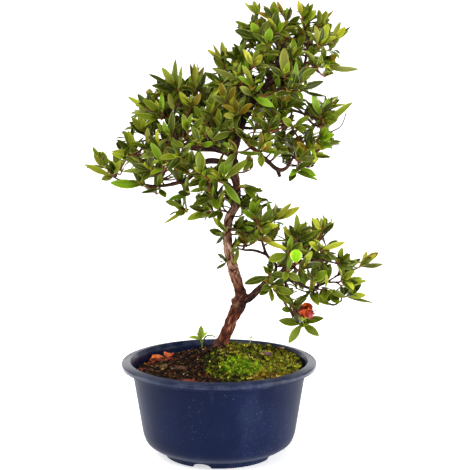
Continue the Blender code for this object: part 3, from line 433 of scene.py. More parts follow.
# Each kind of grain's tone, and how common it is
GRIT_TONES = {
    tone(32, 20, 10): 9, tone(18, 11, 7): 11, tone(74, 50, 24): 6, tone(108, 84, 40): 4, tone(78, 30, 14): 5,
    tone(30, 28, 18): 6, tone(112, 60, 30): 4, tone(168, 148, 118): 1, tone(70, 62, 54): 3,
}
EARTH_STOPS = [(0.38, tone(10, 6, 3)), (0.54, tone(32, 20, 11)), (0.72, tone(78, 50, 28))]


def soil_height(x, y):
    """The soil's height in mm at a place in mm from the pot's middle."""
    height = SOIL_LEVEL + 3.0 * (x - y) / 100 + 0.9 * math.sin(x * 0.21 + 1.3) * math.cos(y * 0.19 - 0.4)
    for (across, back), rise, spread in MOUNDS:
        height += rise * math.exp(-((x - across) ** 2 + (y - back) ** 2) / (2 * spread ** 2))
    return height


def crumbs(x, y):
    """The height in mm of the crumbs that stand on the soil's relief."""
    coarse = noise.noise((x * 0.33, y * 0.33, 0.0))
    fine = noise.noise((x * 0.85, y * 0.85, 7.0))
    return CRUMB_HEIGHT * (0.7 * coarse + 0.5 * fine)


def coloured_verts(bm):
    return bm.verts.layers.float_color.get("tint") or bm.verts.layers.float_color.new("tint")


rings = [SOIL_REACH - SOIL_RING_STEP * i for i in range(int(SOIL_REACH / SOIL_RING_STEP) + 1)]
soil_bm = turned(SOIL_SIDE + [(radius, SOIL_LEVEL) for radius in rings] + [(0, SOIL_LEVEL)], SOIL_SEGMENTS)
for vert in soil_bm.verts:
    if vert.co.z > (SOIL_LEVEL - 0.5) * MM:
        x, y = vert.co.x / MM, vert.co.y / MM
        vert.co.z = (soil_height(x, y) + crumbs(x, y)) * MM
bmesh.ops.translate(soil_bm, vec=POT_MIDDLE, verts=soil_bm.verts)
mix = Finish("dark_soil", tone(44, 30, 22), 0.95, Specular_IOR_Level=0.08)
where = mix.places()
patches = mix.noise(where, 130.0, 5.0, 0.65)
grains = mix.node("TexVoronoi", {}, {"Vector": where, "Scale": 520.0}, 1)
grain_tone = mix.part(grains, "x")
mix.paint("Base Color", mix.shaded(mix.ramp(patches, EARTH_STOPS), grain_tone * 0.9 + 0.45))
mix.bump(patches + grain_tone * 0.5, 0.8, 1.0 * MM)
placed("potting_mix", mesh_of(soil_bm, "soil"), [mix], ["soil"], sharp=50)


def add_mesh(bm, mesh):
    bm.from_mesh(mesh)
    bpy.data.meshes.remove(mesh)


def copies(mesh, count):
    """So many copies of a mesh in one, doubled up as often as it takes, and each copy's points."""
    bm = bmesh.new()
    for digit in f"{count:b}":
        if bm.verts:
            add_mesh(bm, mesh_of(bm.copy(), "half"))
        if digit == "1":
            bm.from_mesh(mesh)
    made = mesh_of(bm, "copies")
    points = np.empty(len(made.vertices) * 3, np.float32)
    made.vertices.foreach_get("co", points)
    return made, points.reshape(count, -1, 3)


def scattered(mesh, matrices, colours, roughened=0.0):
    """Copies of a mesh, each put in its place and given its colour, with its corners pushed about."""
    made, points = copies(mesh, len(matrices))
    each = points.shape[1]
    points += np.random.default_rng(each).uniform(-roughened, roughened, points.shape)
    turns = np.array([matrix.to_3x3() for matrix in matrices])
    middles = np.array([matrix.translation for matrix in matrices])
    points = np.einsum("nij,nkj->nki", turns, points) + middles[:, None]
    made.vertices.foreach_set("co", points.ravel())
    tint = made.attributes.new("tint", "FLOAT_COLOR", "POINT")
    tint.data.foreach_set("color", np.repeat([(*colour, 1.0) for colour in colours], each, axis=0).ravel())
    return made


def any_turn(rng):
    return Quaternion([rng.gauss(0, 1) for _ in range(4)]).normalized().to_matrix().to_4x4()


def dimmed(colour, light):
    return [part * light for part in colour]


grain_bm = bmesh.new()
bmesh.ops.create_icosphere(grain_bm, subdivisions=1, radius=1.0)
rng = random.Random("grit")
matrices, colours = [], []
for _ in range(GRIT_COUNT):
    reach, angle = (SOIL_REACH - WALL_CLEAR) * math.sqrt(rng.random()), rng.uniform(0, 2 * math.pi)
    x, y = reach * math.cos(angle), reach * math.sin(angle)
    size = rng.uniform(*GRIT_RADII) * (LARGE_GRIT if rng.random() < LARGE_SHARE else 1.0)
    middle = Vector((x, y, soil_height(x, y) + crumbs(x, y) + GRIT_RISE * size)) * MM + POT_MIDDLE
    sizes = (size * MM, size * rng.uniform(0.6, 1.0) * MM, size * rng.uniform(0.45, 0.9) * MM)
    matrices.append(Matrix.Translation(middle) @ any_turn(rng) @ Matrix.Diagonal((*sizes, 1.0)))
    grain_colour = rng.choices(list(GRIT_TONES), list(GRIT_TONES.values()))[0]
    colours.append(dimmed(grain_colour, rng.uniform(0.5, 1.3)))
grit_mesh = scattered(mesh_of(grain_bm, "grain"), matrices, colours, GRIT_ROUGH)
grit = Finish("grit", tone(70, 52, 36), 0.85, Specular_IOR_Level=0.12)
where = grit.places()
grit.tint(grit.noise(where, 900.0, 2.0) * 0.8 + 0.6)
grit.bump(grit.noise(where, 1400.0, 2.0), 0.5, 0.3 * MM)
placed("grit", grit_mesh, [grit], sharp=25)

# The moss: a carpet on the right half of the soil, with a bright green cushion in front of the trunk. It is
# a low mat whose short leafy shoots stand up all over it, yellow-green behind, burnt orange at the right and
# dark with painted shade at the left and front.
MOSS_MIDDLE = Vector((36.0, -14.0))
MOSS_HALF_SIZES = (56.0, 76.0)
MOSS_THICK = 2.0
CUSHION_THICK = 4.6
CUSHION_PLACE = Vector((22.0, -24.0))
CUSHION_SPREAD = 20.0
MOSS_WALL = 84.0
TRUNK_FOOT = Vector((0.0, 36.0))
TRUNK_CLEAR = 11.0
MOSS_SEGMENTS = 150
MOSS_RINGS = 80
TUFT_COUNT = 2300
TUFT_SHOOTS = 7
TUFT_SPREAD = 0.45
TUFT_REACH = 0.99
SHOOT_HEIGHTS = (1.6, 3.4)
SHOOT_RADIUS = 0.5
MOSS_TONES = {
    "cushion": [tone(110, 152, 12), tone(134, 170, 22), tone(84, 124, 10), tone(162, 188, 44)],
    "carpet": [tone(164, 170, 36), tone(98, 114, 20), tone(210, 204, 84), tone(46, 54, 16),
               tone(124, 120, 34)],
    # The shade tones are moss in painted shade, at the left and at the front.
    "shade": [tone(34, 42, 14), tone(56, 68, 22), tone(18, 20, 9), tone(86, 92, 40), tone(46, 32, 16)],
    "burnt": [tone(164, 92, 34), tone(136, 112, 34), tone(104, 54, 24), tone(168, 128, 48),
              tone(72, 60, 22)],
}
# How much of each kind has no tufts, so that the mat, darkened with painted shade, shows
BARE_SHARES = {"cushion": 0.0, "carpet": 0.2, "shade": 0.55, "burnt": 0.3}
# The mat's tones are the moss's own dimmed to this share: painted shade in the depths between the shoots
MAT_SHADE_DIMMING = 0.22
MAT_SUNK = 1.5
SHOOT_SUNK = 0.6


def moss_lumps(x, y):
    return 0.85 + 0.6 * noise.noise((x * 0.17, y * 0.17, 1.0)) + 0.5 * noise.noise((x * 0.42, y * 0.42, 2.0))


def from_cushion(x, y):
    return (Vector((x, y)) - CUSHION_PLACE).length / CUSHION_SPREAD


def moss_thickness(x, y):
    return (MOSS_THICK + CUSHION_THICK * math.exp(-from_cushion(x, y) ** 2)) * moss_lumps(x, y)


def moss_reach(heading):
    """How far the moss spreads from its middle along a heading: to its edge, the wall or the trunk."""
    edge = 1 / math.hypot(heading.x / MOSS_HALF_SIZES[0], heading.y / MOSS_HALF_SIZES[1])
    edge *= 0.92 + 0.2 * noise.noise((heading.x * 4, heading.y * 4, 3.0))
    ahead = MOSS_MIDDLE.dot(heading)
    reach = min(edge, -ahead + math.sqrt(ahead ** 2 + MOSS_WALL ** 2 - MOSS_MIDDLE.length_squared))
    to_trunk = TRUNK_FOOT - MOSS_MIDDLE
    beside = to_trunk.length_squared - to_trunk.dot(heading) ** 2
    if to_trunk.dot(heading) > 0 and beside < TRUNK_CLEAR ** 2:
        reach = min(reach, to_trunk.dot(heading) - math.sqrt(TRUNK_CLEAR ** 2 - beside))
    return reach


def eased(value, low, high):
    """Nothing at low, one at high, and an even curve between them."""
    part = min(max((value - low) / (high - low), 0.0), 1.0)
    return part * part * (3 - 2 * part)


def moss_kind(x, y, rng):
    """Which moss grows there, the shade kind being moss in painted shade: the kinds mingle, and patches of
    each run into the next.
    """
    patch = noise.noise((x * 0.11, y * 0.11, 5.0))
    chances = {
        "cushion": 6 * math.exp(-(from_cushion(x, y) * (1 + 0.35 * patch)) ** 4),
        "carpet": 0.8 + 0.8 * eased(patch, -0.2, 0.4),
        "shade": 0.35 + 3.5 * eased(-x - 0.4 * y + 12 * patch, -16, 14) + 1.2 * eased(-y, 48, 70),
        "burnt": 4.5 * eased(-y + 0.3 * x + 16 * patch, 50, 76) * eased(x, 22, 50) + 0.15,
    }
    return rng.choices(list(chances), list(chances.values()))[0]


moss_bm = bmesh.new()
bmesh.ops.create_uvsphere(moss_bm, u_segments=MOSS_SEGMENTS, v_segments=MOSS_RINGS, radius=1.0)
moss_tint = coloured_verts(moss_bm)
rng = random.Random("moss")
for vert in moss_bm.verts:
    outer = Vector((vert.co.x, vert.co.y))
    flat = MOSS_MIDDLE.copy()
    if outer.length > 0.001:
        flat += outer.normalized() * moss_reach(outer.normalized()) * outer.length
    rise = -MAT_SUNK
    if vert.co.z > 0:
        rise = (moss_thickness(*flat) + rng.uniform(-0.25, 0.25)) * vert.co.z ** 0.5
    vert.co = Vector((flat.x, flat.y, soil_height(*flat) + rise)) * MM + POT_MIDDLE
    colour = rng.choice(MOSS_TONES[moss_kind(flat.x, flat.y, rng)])
    # Painted shade: the mat takes its moss tone dimmed
    vert[moss_tint] = (*dimmed(colour, MAT_SHADE_DIMMING), 1.0)
matrices, colours = [], []
for _ in range(TUFT_COUNT):
    angle = rng.uniform(0, 2 * math.pi)
    heading = Vector((math.cos(angle), math.sin(angle)))
    flat = MOSS_MIDDLE + heading * moss_reach(heading) * math.sqrt(rng.random()) * TUFT_REACH
    kind = moss_kind(flat.x, flat.y, rng)
    if rng.random() < BARE_SHARES[kind]:
        continue
    # A tuft is darker where the moss is thin and low, painted shade in its hollows, over a random tone.
    tuft_light = rng.uniform(0.5, 1.4) * (0.45 + 0.65 * eased(moss_lumps(flat.x, flat.y), 0.5, 1.25))
    tone_of_tuft = rng.choice(MOSS_TONES[kind])
    for _ in range(TUFT_SHOOTS):
        aside = Vector((rng.gauss(0, 1), rng.gauss(0, 1)))
        place = flat + aside * TUFT_SPREAD
        tall = rng.uniform(*SHOOT_HEIGHTS)
        root = Vector((*place, soil_height(*place) + moss_thickness(*place) - SHOOT_SUNK)) * MM + POT_MIDDLE
        lean = Vector((*(aside * 0.5), 1.0)).to_track_quat("Z", "Y").to_matrix().to_4x4()
        matrices.append(Matrix.Translation(root) @ lean @ Matrix.Diagonal((1.0, 1.0, tall, 1.0)))
        colours.append(dimmed(tone_of_tuft, tuft_light * rng.uniform(0.8, 1.2)))
shoot_bm = bmesh.new()
bmesh.ops.create_cone(shoot_bm, cap_ends=True, segments=3, radius1=SHOOT_RADIUS * MM, radius2=0.0,
                      depth=1.0 * MM, matrix=Matrix.Translation((0, 0, 0.5 * MM)))
green = Finish("moss", tone(110, 150, 30), 0.9, Specular_IOR_Level=0.1)
where = green.places()
green.tint(green.noise(where, 500.0, 3.0) * 0.7 + 0.65)
green.bump(green.noise(where, 900.0, 3.0), 0.7, 0.6 * MM)
placed("moss_carpet", mesh_of(moss_bm, "moss"), [green], ["moss"], sharp=60)
shoots_mesh = scattered(mesh_of(shoot_bm, "shoot"), matrices, colours)
placed("moss_shoots", shoots_mesh, [green], sharp=None)

# The litter on the soil: a dark red stick and chips of bark, orange-brown dead leaves and crumpled bits of
# old flowers. Each flake is a thin sheet, torn at its edge and folded.
FLAKE_GRID = (7, 5)
FLAKE_THICK = 0.5
FLAKE_RISE = 0.7
# Each flake: its place, its half sizes, its rise, its turn, its tone and how far it is crumpled
FLAKES = {
    "bark_stick": ((-77.0, 2.0), (8.0, 3.2), 2.6, 0.3, tone(98, 36, 34), 0.9),
    "leaf_chip_left": ((-65.0, 46.0), (7.4, 6.2), 8.0, 0.9, tone(226, 118, 54), 2.6),
    "leaf_chip_back": ((-53.0, 54.0), (7.6, 4.4), 5.4, -0.3, tone(206, 96, 54), 2.0),
    "bark_chip_front": ((-29.0, -62.0), (10.0, 4.2), 2.0, 0.15, tone(120, 50, 34), 1.2),
    "bark_chip_middle": ((-38.0, -8.0), (7.5, 4.6), 2.0, -0.6, tone(84, 52, 36), 1.0),
}
# The small bits: how many, the place round which they lie and its spread, their size and their tone
SMALL_BITS = [
    (26, (-60.0, 34.0), (12.0, 13.0), (2.0, 4.6), tone(140, 56, 30)),
    (3, (50.0, 17.0), (3.0, 2.0), (8.0, 12.0), tone(116, 82, 84)),
    (3, (66.0, 48.0), (1.6, 1.6), (3.0, 4.6), tone(206, 192, 140)),
    (26, (-60.0, 6.0), (9.0, 20.0), (1.6, 3.2), tone(122, 96, 46)),
    (22, (-30.0, -60.0), (15.0, 9.0), (1.5, 3.4), tone(150, 70, 44)),
    (26, (56.0, -46.0), (15.0, 7.0), (2.4, 5.6), tone(164, 78, 40)),
    (10, (68.0, 28.0), (6.0, 9.0), (1.4, 2.6), tone(150, 140, 110)),
    (46, (-20.0, 0.0), (38.0, 42.0), (1.2, 2.6), tone(92, 66, 40)),
]
BIT_CURL = 0.6


def flake(bm, place, half_sizes, rise, turn, colour, curl, rng):
    """Adds a torn, folded flake that lies on the soil at a place in mm."""
    sheet = bmesh.new()
    bmesh.ops.create_grid(sheet, x_segments=FLAKE_GRID[0], y_segments=FLAKE_GRID[1], size=1.0)
    seed = Vector((rng.uniform(0, 90), rng.uniform(0, 90), 0.0))
    for vert in sheet.verts:
        flat = vert.co.copy()
        round_off = 1 - 0.22 * (flat.x * flat.y) ** 2 - 0.12 * abs(flat.x) ** 3
        torn = 1 + 0.22 * noise.noise(flat * 1.9 + seed)
        crumple = curl * noise.noise(flat * 1.5 + seed + Vector((0, 0, 5)))
        arch = rise * 0.5 * (1 - flat.y ** 2) * (0.6 + 0.4 * math.cos(flat.x * 2))
        vert.co = (flat.x * half_sizes[0] * round_off * torn, flat.y * half_sizes[1] * round_off * torn,
                   arch + crumple)
    bmesh.ops.recalc_face_normals(sheet, faces=sheet.faces)
    bmesh.ops.solidify(sheet, geom=sheet.faces, thickness=FLAKE_THICK)
    lean = (Matrix.Rotation(rng.uniform(-0.3, 0.3), 4, "X")
            @ Matrix.Rotation(rng.uniform(-0.25, 0.25), 4, "Y"))
    ground = Matrix.Translation((*place, soil_height(*place) + FLAKE_RISE))
    in_pot = Matrix.Translation(POT_MIDDLE) @ Matrix.Scale(MM, 4)
    for matrix in (ground @ Matrix.Rotation(turn, 4, "Z") @ lean, in_pot):
        bmesh.ops.transform(sheet, matrix=matrix, verts=sheet.verts)
    sheet_tint = coloured_verts(sheet)
    for vert in sheet.verts:
        light = 0.75 + 0.6 * noise.noise(vert.co * 260)
        vert[sheet_tint] = (*dimmed(colour, light), 1.0)
    add_mesh(bm, mesh_of(sheet, "flake"))


dry = Finish("dry_litter", tone(140, 80, 40), 0.8, Specular_IOR_Level=0.3)
where = dry.places()
fibres = dry.noise(dry.stretched(where, (1.0, 0.3, 1.0)), 900.0, 3.0)
dry.tint(fibres * 0.9 + 0.55)
dry.bump(fibres, 0.6, 0.4 * MM)
for name, (place, half_sizes, rise, turn, colour, curl) in FLAKES.items():
    rng = random.Random(name)
    flake_bm = bmesh.new()
    coloured_verts(flake_bm)
    layers = 4 if name.startswith("leaf") else 2
    for i in range(layers):
        around = Vector((rng.uniform(-1.5, 1.5), rng.uniform(-1.5, 1.5))) * i
        sizes = [size * rng.uniform(0.5, 0.8) if i else size for size in half_sizes]
        light = rng.uniform(0.5, 1.1) if i else 1.0
        flake(flake_bm, Vector(place) + around, sizes, rise, turn + rng.uniform(-0.8, 0.8) * i,
              dimmed(colour, light), curl, rng)
    placed("dry_" + name, mesh_of(flake_bm, name), [dry], [name], sharp=40)
rng = random.Random("small bits")
bits_bm = bmesh.new()
coloured_verts(bits_bm)
for count, place, spread, sizes, colour in SMALL_BITS:
    for _ in range(count):
        x, y = rng.gauss(place[0], spread[0] / 2), rng.gauss(place[1], spread[1] / 2)
        if math.hypot(x, y) > SOIL_REACH - 2 * WALL_CLEAR:
            continue
        size = rng.uniform(*sizes) / 2
        light = rng.uniform(0.55, 1.3)
        flake(bits_bm, (x, y), (size * 1.3, size * rng.uniform(0.5, 1.0)), size, rng.uniform(0, 3),
              dimmed(colour, light), BIT_CURL, rng)
placed("small_litter", mesh_of(bits_bm, "small_litter"), [dry], sharp=40)

# The wood: a leaning trunk that forks low, with a crown of thin branches, all grown as one piece. The bark
# is reddish and flakes off in long twisted strips, paler on the trunk and dark purple-brown higher up.
# Each limb's stations: across, up, depth and radius, in mm
LIMBS = {
    "trunk": [
        (1.5, 116, 31, 8.6), (3.6, 122, 30.5, 7.3), (6.5, 129, 29, 6.1), (10.0, 137, 28, 5.8),
        (13, 145, 27, 6.1), (17.3, 154, 25, 6.9), (20.6, 161, 24, 7.4), (22, 169, 22.5, 6.3),
        (20.3, 176, 22, 5.6), (17, 186, 20, 5.6), (14, 197, 19, 5.7), (10.3, 211, 17, 5.0),
        (8.5, 226, 15, 4.6), (9, 241, 13, 4.5),
        (13, 251, 11.5, 4.5), (17, 259, 10.5, 4.4), (18, 274, 9, 4.1), (15, 292, 7, 4.6),
        (14, 311, 5, 5.0), (21, 336, 3, 4.1), (31, 356, 1, 3.4), (43, 374, 0, 2.8),
        (56, 384, -2, 2.1), (68, 387, -4, 1.4),
    ],
    "top": [(43, 374, 0, 2.0), (52, 388, 2, 2.1), (57, 400, 0, 1.8), (64, 418, -4, 1.4), (70, 428, -6, 1.0)],
    "top_right": [
        (50, 380, -1, 1.6), (71, 385, 4, 1.8), (84, 396, 6, 1.6), (88, 414, 4, 1.3), (91, 432, 2, 0.9),
    ],
    "top_left": [(31, 356, 1, 2.0), (27, 374, 4, 1.7), (22, 390, 4, 1.4), (10, 400, 2, 1.0)],
    "left_high": [
        (14, 309, 5, 3.0), (-4, 315, 2, 3.2), (-19, 315, -2, 2.8), (-34, 318, -6, 2.4),
        (-44, 328, -8, 1.9), (-45, 346, -6, 1.5), (-42, 362, -4, 1.0),
    ],
    "left_out": [(-34, 318, -6, 1.4), (-52, 322, 0, 1.5), (-69, 324, 2, 1.3), (-80, 322, 0, 0.9)],
    "left_low": [
        (15, 300, 6, 2.8), (-11, 303, 0, 3.0), (-24, 292, -4, 2.6), (-33, 284, -8, 2.3),
        (-46, 280, -10, 2.0), (-59, 278, -11, 1.7), (-76, 279, -10, 1.4), (-96, 283, -7, 1.1),
        (-108, 288, -5, 0.9),
    ],
    "right_mid": [(43, 374, 0, 1.8), (60, 358, 4, 1.8), (80, 352, 4, 1.5), (95, 346, 0, 1.1)],
    "right_low": [
        (20, 331, 3, 2.3), (34, 316, 0, 2.3), (46, 305, -2, 2.2), (58, 295, -4, 2.3),
        (66, 295, -5, 2.0), (72, 303, -6, 1.5), (77, 313, -8, 1.0),
    ],
    "fork": [
        (22, 162, 23, 4.4), (31, 166.5, 19, 3.9), (41, 176, 14, 3.2), (51, 185, 8, 3.0),
        (61, 191, 2, 2.7), (73, 198, -2, 2.1), (84, 203, -4, 1.7), (101, 204, -5, 1.4), (116, 201, -4, 1.0),
    ],
    "fork_up": [
        (53, 186, 7, 1.9), (57, 198, 7, 1.8), (48, 209, 5, 1.6), (43, 223, 2, 1.4), (38, 238, -2, 1.0),
    ],
    "fork_inner": [(48, 209, 5, 1.5), (36, 213.5, 3, 1.5), (26, 214, 0, 1.2), (19, 215.5, -2, 0.9)],
    "fork_high": [(73, 198, -2, 1.2), (84, 213, 2, 1.3), (80, 222, 0, 1.0)],
    "fork_right": [
        (61, 191, 2, 1.6), (81, 180, 0, 1.7), (92, 176, -1, 1.5), (106, 181, -2, 1.3), (116, 187, -3, 0.9),
    ],
    "fork_down": [(66, 188, 0, 1.2), (68, 170, 2, 1.4), (76, 156, 0, 1.2), (82, 146, -2, 0.9)],
    "back_left": [(14, 305, 5, 1.9), (-2, 316, 20, 1.8), (-22, 324, 34, 1.5), (-42, 330, 42, 1.0)],
    "back_top": [(33, 359, 1, 1.8), (30, 368, 18, 1.7), (36, 382, 32, 1.4), (46, 398, 40, 0.9)],
    "back_right": [(21, 336, 3, 1.8), (38, 336, 20, 1.7), (58, 338, 34, 1.4), (76, 344, 42, 0.9)],
    "front_left": [(5, 312, 3, 1.7), (-8, 318, -14, 1.6), (-22, 324, -28, 1.3), (-34, 326, -38, 0.9)],
    "front_top": [(46, 377, 0, 1.6), (50, 381, -16, 1.4), (58, 388, -28, 0.9)],
    "front_mid": [(18, 270, 9, 1.6), (10, 280, -8, 1.5), (4, 281, -28, 1.0)],
    "fork_back": [(61, 191, 2, 1.6), (68, 200, 18, 1.5), (80, 206, 32, 1.2), (94, 208, 40, 0.9)],
    "fork_out": [(88, 177, -1, 1.0), (103, 165, 0, 1.2), (114, 159, 0, 1.1), (122, 163, -2, 0.8)],
}
# Roots that show on the soil and knobs where old shoots were cut, which only the fine wood has
ROOTS_AND_KNOBS = {
    "root_left": [(1, 119, 29, 3.0), (-5, 116.5, 24, 2.3), (-11, 114.5, 18, 1.7), (-17, 111, 13, 1.1)],
    "knob_fork": [(20, 163, 23, 5.4), (13.2, 162.5, 20, 3.6)],
    "knob_crotch": [(24, 164, 21, 4.6), (28.5, 169, 18, 2.2)],
    "knob_trunk": [(14, 196, 18, 4.4), (17.4, 195, 15.5, 2.6)],
    "knob_high": [(15, 300, 6, 4.0), (18.6, 303, 2, 2.0)],
    "stub_low_right": [(58, 295, -4, 2.2), (61, 287, -5, 1.9)],
}
FOOT_DROP = 20.0 * MM
WOOD_SIDES = 14
WOOD_VOXEL = 0.68 * MM
SMOOTH_ROUNDS = 3
BARK_TWIST = 22.0
BARK_STRETCH = 0.26
BARK_DEPTH = 1.1 * MM
BARK_SHARE = 0.17
# The crotch of the fork, darkened with painted shade, and how far the painted shade reaches
CROTCH = (24, 163, 22)
CROTCH_SHADE_REACH = (0.009, 0.019)
# Heights over which the foot's bark turns into the trunk's, and the trunk's into the branches'
FOOT_HEIGHTS = (0.160, 0.205)
TRUNK_HEIGHTS = (0.235, 0.275)
# The tones of the bark, from its cracks to its flakes: at the trunk's foot, up the trunk and on the branches
FOOT_TONES = [(0.40, tone(24, 10, 6)), (0.47, tone(84, 38, 22)), (0.54, tone(124, 64, 40)),
              (0.63, tone(190, 146, 118))]
TRUNK_TONES = [(0.40, tone(40, 18, 10)), (0.46, tone(104, 64, 44)), (0.52, tone(152, 106, 82)),
               (0.60, tone(212, 180, 156))]
BRANCH_TONES = [(0.40, tone(14, 6, 6)), (0.5, tone(46, 22, 16)), (0.62, tone(98, 64, 50))]


def curved(path, radii, parts):
    """A smooth curve through a path's points, with its radii, in so many parts for each span."""
    ends = [path[0] * 2 - path[1]] + list(path) + [path[-1] * 2 - path[-2]]
    points, sizes = [], []
    for i in range(len(path) - 1):
        before, start, end, after = ends[i:i + 4]
        bend = 2 * before - 5 * start + 4 * end - after
        swing = 3 * start - before - 3 * end + after
        for k in range(parts):
            t = k / parts
            points.append(0.5 * (2 * start + (end - before) * t + bend * t ** 2 + swing * t ** 3))
            sizes.append(radii[i] + (radii[i + 1] - radii[i]) * t)
    return points + [path[-1]], sizes + [radii[-1]]


def limb(path, radii, sides):
    """A round limb along a path, closed at both ends, and its rings' frames."""
    bm = bmesh.new()
    heading = (path[1] - path[0]).normalized()
    axes = heading.to_track_quat("Z", "Y").to_matrix()
    ring = bmesh.ops.create_circle(bm, segments=sides, radius=radii[0],
                                   matrix=Matrix.Translation(path[0]) @ axes.to_4x4())["verts"]
    edges = list(bm.edges)
    frames = [(path[0], axes)]
    for i in range(1, len(path)):
        after = path[min(i + 1, len(path) - 1)]
        onward = (after - path[i - 1]).normalized()
        grown = bmesh.ops.extrude_edge_only(bm, edges=edges)["geom"]
        ring = [g for g in grown if isinstance(g, bmesh.types.BMVert)]
        edges = [g for g in grown if isinstance(g, bmesh.types.BMEdge)]
        turn = heading.rotation_difference(onward).to_matrix()
        axes = turn @ axes
        move = (Matrix.Translation(path[i]) @ turn.to_4x4() @ Matrix.Scale(radii[i] / radii[i - 1], 4)
                @ Matrix.Translation(-path[i - 1]))
        bmesh.ops.transform(bm, matrix=move, verts=ring)
        frames.append((path[i], axes))
        heading = onward
    bmesh.ops.holes_fill(bm, edges=[e for e in bm.edges if e.is_boundary], sides=0)
    bmesh.ops.recalc_face_normals(bm, faces=bm.faces)
    return bm, frames


wood_bm = bmesh.new()
stations = []
for name, limb_stations in {**LIMBS, **ROOTS_AND_KNOBS}.items():
    path = [seen(*station[:3]) for station in limb_stations]
    radii = [station[3] * MM for station in limb_stations]
    if name == "trunk":
        path.insert(0, path[0] - Vector((0, 0, FOOT_DROP)))
        radii.insert(0, radii[0])
    points, sizes = curved(path, radii, 5)
    shape, frames = limb(points, sizes, WOOD_SIDES)
    along = 0.0
    for i, (middle, axes) in enumerate(frames):
        along += (middle - frames[i - 1][0]).length if i else 0.0
        stations.append((middle, axes, sizes[i], along, float(name == "trunk" or name.startswith("knob"))))
    add_mesh(wood_bm, mesh_of(shape, "limb"))


def add_remesh(holder):
    """Grows the limbs together into one skin and softens the crotches between them."""
    joining = holder.modifiers.new("join", "REMESH")
    joining.mode = "VOXEL"
    joining.voxel_size = WOOD_VOXEL
    softening = holder.modifiers.new("soften", "SMOOTH")
    softening.factor = 0.5
    softening.iterations = SMOOTH_ROUNDS


wood_mesh = settled(mesh_of(wood_bm, "wood"), add_remesh)
nearest = kdtree.KDTree(len(stations))
for i, station in enumerate(stations):
    nearest.insert(station[0], i)
nearest.balance()
grains, ages = [], []
for vert in wood_mesh.vertices:
    middle, axes, radius, along, age = stations[nearest.find(vert.co)[1]]
    ages.append(age)
    local = axes.inverted() @ (vert.co - middle)
    along += local.z
    turn = along * BARK_TWIST
    spun = Vector((local.x * math.cos(turn) - local.y * math.sin(turn),
                   local.x * math.sin(turn) + local.y * math.cos(turn), along * BARK_STRETCH))
    grains.extend(spun)
    strips = 0.5 - 1.6 * abs(noise.noise(spun * 430)) - 0.7 * abs(noise.noise(spun * 950))
    lumps = noise.noise(Vector((spun.x, spun.y, along)) * 120)
    outward = Vector((local.x, local.y, 0.0)).normalized()
    rise = min(BARK_DEPTH, BARK_SHARE * radius) * (strips + lumps * 1.1)
    vert.co += axes @ (outward * rise)
wood_mesh.attributes.new("grain", "FLOAT_VECTOR", "POINT").data.foreach_set("vector", grains)
wood_mesh.attributes.new("aged", "FLOAT", "POINT").data.foreach_set("value", ages)

bark = Finish("bark", tone(110, 72, 60), 0.85, Specular_IOR_Level=0.3)
strips = bark.attribute("grain", 1)
broad = bark.noise(strips, 330.0, 4.0, 0.6, 0.3)
fine = bark.noise(strips, 1300.0, 3.0, 0.6)
patches = bark.noise(bark.places(), 75.0, 3.0)
height = bark.part(bark.places(), "z")
flakes = broad * 0.7 + fine * 0.3
on_foot, on_trunk = bark.ramp(flakes, FOOT_TONES), bark.ramp(flakes, TRUNK_TONES)
barked = bark.mixed(height.between(*FOOT_HEIGHTS), on_foot, on_trunk)
old = bark.attribute("aged", 2) * (1 - height.between(*TRUNK_HEIGHTS))
barked = bark.mixed(old, bark.ramp(flakes, BRANCH_TONES), barked)
barked = bark.mixed(patches.between(0.52, 0.72) * 0.4, barked, tone(84, 42, 24))
from_crotch = bark.node("VectorMath", {"operation": "DISTANCE"},
                        {"Vector": bark.places(), "Vector_001": seen(*CROTCH)}, 1)
# Painted shade: the bark is darkened in and round the fork's crotch
barked = bark.mixed((1 - from_crotch.between(*CROTCH_SHADE_REACH)) * 0.75, barked, bark.shaded(barked, 0.36))
bark.paint("Base Color", barked)
bark.bump(broad * 0.7 + fine * 0.5, 0.9, 0.8 * MM)
placed("trunk_and_branches", wood_mesh, [bark], ["wood"], sharp=None)

# The seedling: a self-sown plant left of the trunk, with a thin green stem, four small leaves and a thread
# of a side shoot that bows over to the right. A pale sprout, thin as a hair, stands in the moss behind the
# cushion. Their parts are made as all the azalea's leaves and twigs are.
SEEDLING_FOOT = (-18.0, 45.0)
SEEDLING_TOP = (-18, 124, 45)
# How far each leaf reaches across, up and out, and its width
SEEDLING_LEAVES = [(0, 16, 4, 6.6), (8, 9, 5, 5.0), (-13, 3, 5, 5.4), (-4, 8, -3, 4.0)]
SEEDLING_STEM = (0.9, 0.7)
SIDE_SHOOT = [(-17.6, 120, 45), (-13, 127.5, 44), (-7, 128.5, 42), (-3, 126.5, 41)]
SIDE_SHOOT_RADII = (0.9, 0.6)
SEEDLING_TONES = [tone(108, 90, 44), tone(122, 140, 50), tone(132, 156, 58)]
SEEDLING_GREEN = tone(150, 172, 58)
SPROUT_FOOT = Vector((32.0, 42.0))
SPROUT_RISE = Vector((1.0, 0.0, 7.0))
SPROUT_LEAVES = [(-2.2, 1.8, 1.0, 1.5), (2.8, 0.8, 1.0, 1.6), (0.4, 3.4, 0.5, 1.4)]
SPROUT_STEM = (0.5, 0.45)
SPROUT_TONES = [tone(124, 140, 112), tone(176, 178, 146)]
SPROUT_GREEN = tone(206, 210, 150)
BLADE_STEPS = (4, 8)
BLADE_THICK = 0.45
# Between which amounts a leaf folds and arches, and the most by which it twists and waves
USUAL_BENDS = {"fold": (0.12, 0.5), "arch": (0.25, 0.95), "twist": 0.5, "wave": 0.25}
TWIG_SIDES = 7
BUD_SIDES = (7, 5)
RIB_TONE = tone(150, 152, 66)
# The azalea leaves' paler edge is painted highlight
EDGE_HIGHLIGHT_TONE = tone(180, 184, 92)
UNDER_TONE = tone(150, 152, 80)
ENDS_TONE = tone(104, 66, 34)


